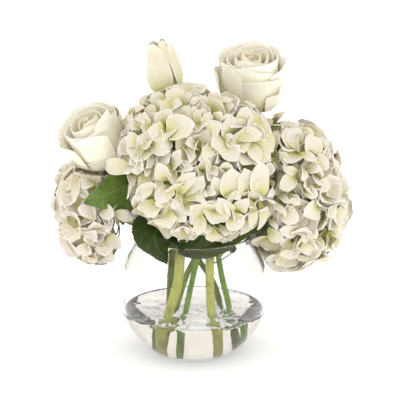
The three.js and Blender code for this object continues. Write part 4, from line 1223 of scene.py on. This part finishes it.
def tulip():
    random = np.random.default_rng(5)
    piece = Piece()
    for layer, reach in enumerate((0.78, 0.98)):
        for index in range(3):
            shape = dict(
                root=3 + 2 * layer, turn=-np.pi / 2 + (index + 0.5 * layer) / 3 * 2 * np.pi, spread=1.0,
                radius=reach * TULIP["radius"], height=TULIP["height"] * (1.0, 0.98)[layer], open=0.9, roll=0,
                twist=0.4, crease=1.4, low=1.75, point=0.5, round=0.3, wave=0.3, light=1.0,
                tone=random.uniform(0.3, 0.9),
            )
            grid, marks = bloom_petal(TULIP, shape, 22, 16)
            piece.sheet(grid, TULIP_THICKNESS, marks)
    heart(piece, TULIP, 6.5)
    return piece.build("tulip_petals", [TULIP_LOOK], "tulip_petals", "tulip_bud")


def rose_ball(bloom, more):
    """A ball round a rose, which the heads stay clear of."""
    middle = np.asarray(bloom["foot"], float) + unit(bloom["facing"]) * bloom["height"] * 0.52
    return middle, [bloom["radius"] + more] * 3


def grown(head, margin):
    return head["middle"], [size + margin for size in head["reach"]]


# The object
glass_bowl()
water()
plain_stem("hydrangea_centre", PALE_STEM, "pale_stem", "hydrangea_centre_stem")
plain_stem("hydrangea_right", PALE_STEM, "pale_stem", "hydrangea_right_stem")
plain_stem("hydrangea_left", DARK_STEM, "dark_stem", "hydrangea_left_stem")
plain_stem("tulip", GREEN_STEM, "green_stem", "tulip_stem")
rose_stem("rose_left", ROSE_LEFT, DARK_STEM, "dark_stem")
rose_stem("rose_right", ROSE_RIGHT, GREEN_STEM, "green_stem")
leaf("leaf_left", LEAF_GREEN, "green_leaf")
leaf("leaf_rim_front", LEAF_DARK, "dark_leaf")
leaf("leaf_rim_right", LEAF_RIM, "dark_leaf")
leafy_stem()
rose("rose_left", ROSE_LEFT, 3)
rose("rose_right", ROSE_RIGHT, 8)
tulip()

# What the heads stay clear of: ellipsoids round their neighbours, each a middle and its reach
LEAF_BALLS = [((-100, -40, 188), (36, 60, 42)), ((-75, -60, 125), (48, 60, 42))]
BOWL_BALL = ((0, 0, GLASS_WIDEST), (GLASS_RADIUS + 2, GLASS_RADIUS + 2, UPPER_REACH + 2))
LEFT_BALL, RIGHT_BALL = rose_ball(ROSE_LEFT, 2), rose_ball(ROSE_RIGHT, 2)
CENTRE_BALL = grown(CENTRE_HEAD, 3)
# Each shell: florets, how deep, how light (below 1 its petals get painted shade), petal length, turn, and
# rows and columns of a petal
OUTER, INNER = (9, 8), (5, 4)
hydrangea(
    "hydrangea_centre", CENTRE_HEAD, [LEFT_BALL, RIGHT_BALL, *LEAF_BALLS],
    [(116, 0, 1.0, 27, 0.0, OUTER), (44, 14, 0.8, 23, 1.0, INNER)], CENTRE_PETALS, 11,
)
hydrangea(
    "hydrangea_right", RIGHT_HEAD, [CENTRE_BALL, RIGHT_BALL, BOWL_BALL],
    [(108, 0, 1.0, 26, 0.4, OUTER), (84, 8, 1.0, 22, 1.0, INNER)], RIGHT_PETALS, 23,
)
hydrangea(
    "hydrangea_left", LEFT_HEAD, [CENTRE_BALL, LEFT_BALL, BOWL_BALL],
    [(80, 0, 1.0, 24, 0.9, OUTER), (54, 9, 1.0, 21, 1.0, INNER)], LEFT_PETALS, 37,
)


# Stage
LIT_POINT = (0, 0, 0.15)  # in metres, as are the lamps' places


def floor():
    """A wide, pale, flat floor."""
    mesh = bpy.data.meshes.new("floor")
    mesh.from_pydata([(-6, -6, 0), (6, -6, 0), (6, 6, 0), (-6, 6, 0)], [], [(0, 1, 2, 3)])
    n = Nodes("pale_floor")
    grain = n.noise(3.0)
    n.set(Base_Color=n.mix(grain, (246, 246, 246), (252, 252, 252)), Roughness=0.9, Specular_IOR_Level=0.1)
    n.set(Emission_Color=(1, 1, 1, 1), Emission_Strength=0.3)
    mesh.materials.append(n.material)
    ground = bpy.data.objects.new("floor", mesh)
    bpy.context.scene.collection.objects.link(ground)


def light(name, place, size, power):
    lamp = bpy.data.lights.new(name, "AREA")
    lamp.shape, lamp.size, lamp.energy = "DISK", size, power
    lamp_object = bpy.data.objects.new(name, lamp)
    lamp_object.visible_glossy = lamp_object.visible_transmission = False
    aim(lamp_object, place, LIT_POINT)


def aim(thing, place, target):
    """Links a lamp or the camera into the scene, at its place and turned to its target."""
    bpy.context.scene.collection.objects.link(thing)
    back = unit(np.asarray(place, float) - np.asarray(target, float))
    right = unit(np.cross(UP, back))
    over = np.cross(back, right)
    thing.matrix_world = Matrix([[right[i], over[i], back[i], place[i]] for i in range(3)] + [[0, 0, 0, 1]])


def surroundings():
    world = bpy.data.worlds.new("studio")
    bpy.context.scene.world = world
    world.use_nodes = True
    shader = world.node_tree.nodes["Background"]
    shader.inputs[0].default_value = (1.0, 0.982, 0.958, 1)
    shader.inputs[1].default_value = 1.08
    light("key", (-0.5, -1.5, 1.3), 1.4, 2.0)
    light("fill", (1.2, -1.1, 0.8), 1.4, 1.5)
    light("top", (0.1, 0.4, 1.8), 1.6, 1.2)
    bpy.context.scene.view_settings.view_transform = "Standard"


def camera():
    data = bpy.data.cameras.new("camera")
    data.sensor_width, data.lens, data.clip_start = 36.0, 36.0 * LENS, 0.01
    eye = bpy.data.objects.new("camera", data)
    aim(eye, EYE * MM, AIM * MM)
    bpy.context.scene.camera = eye


floor()
surroundings()
camera()
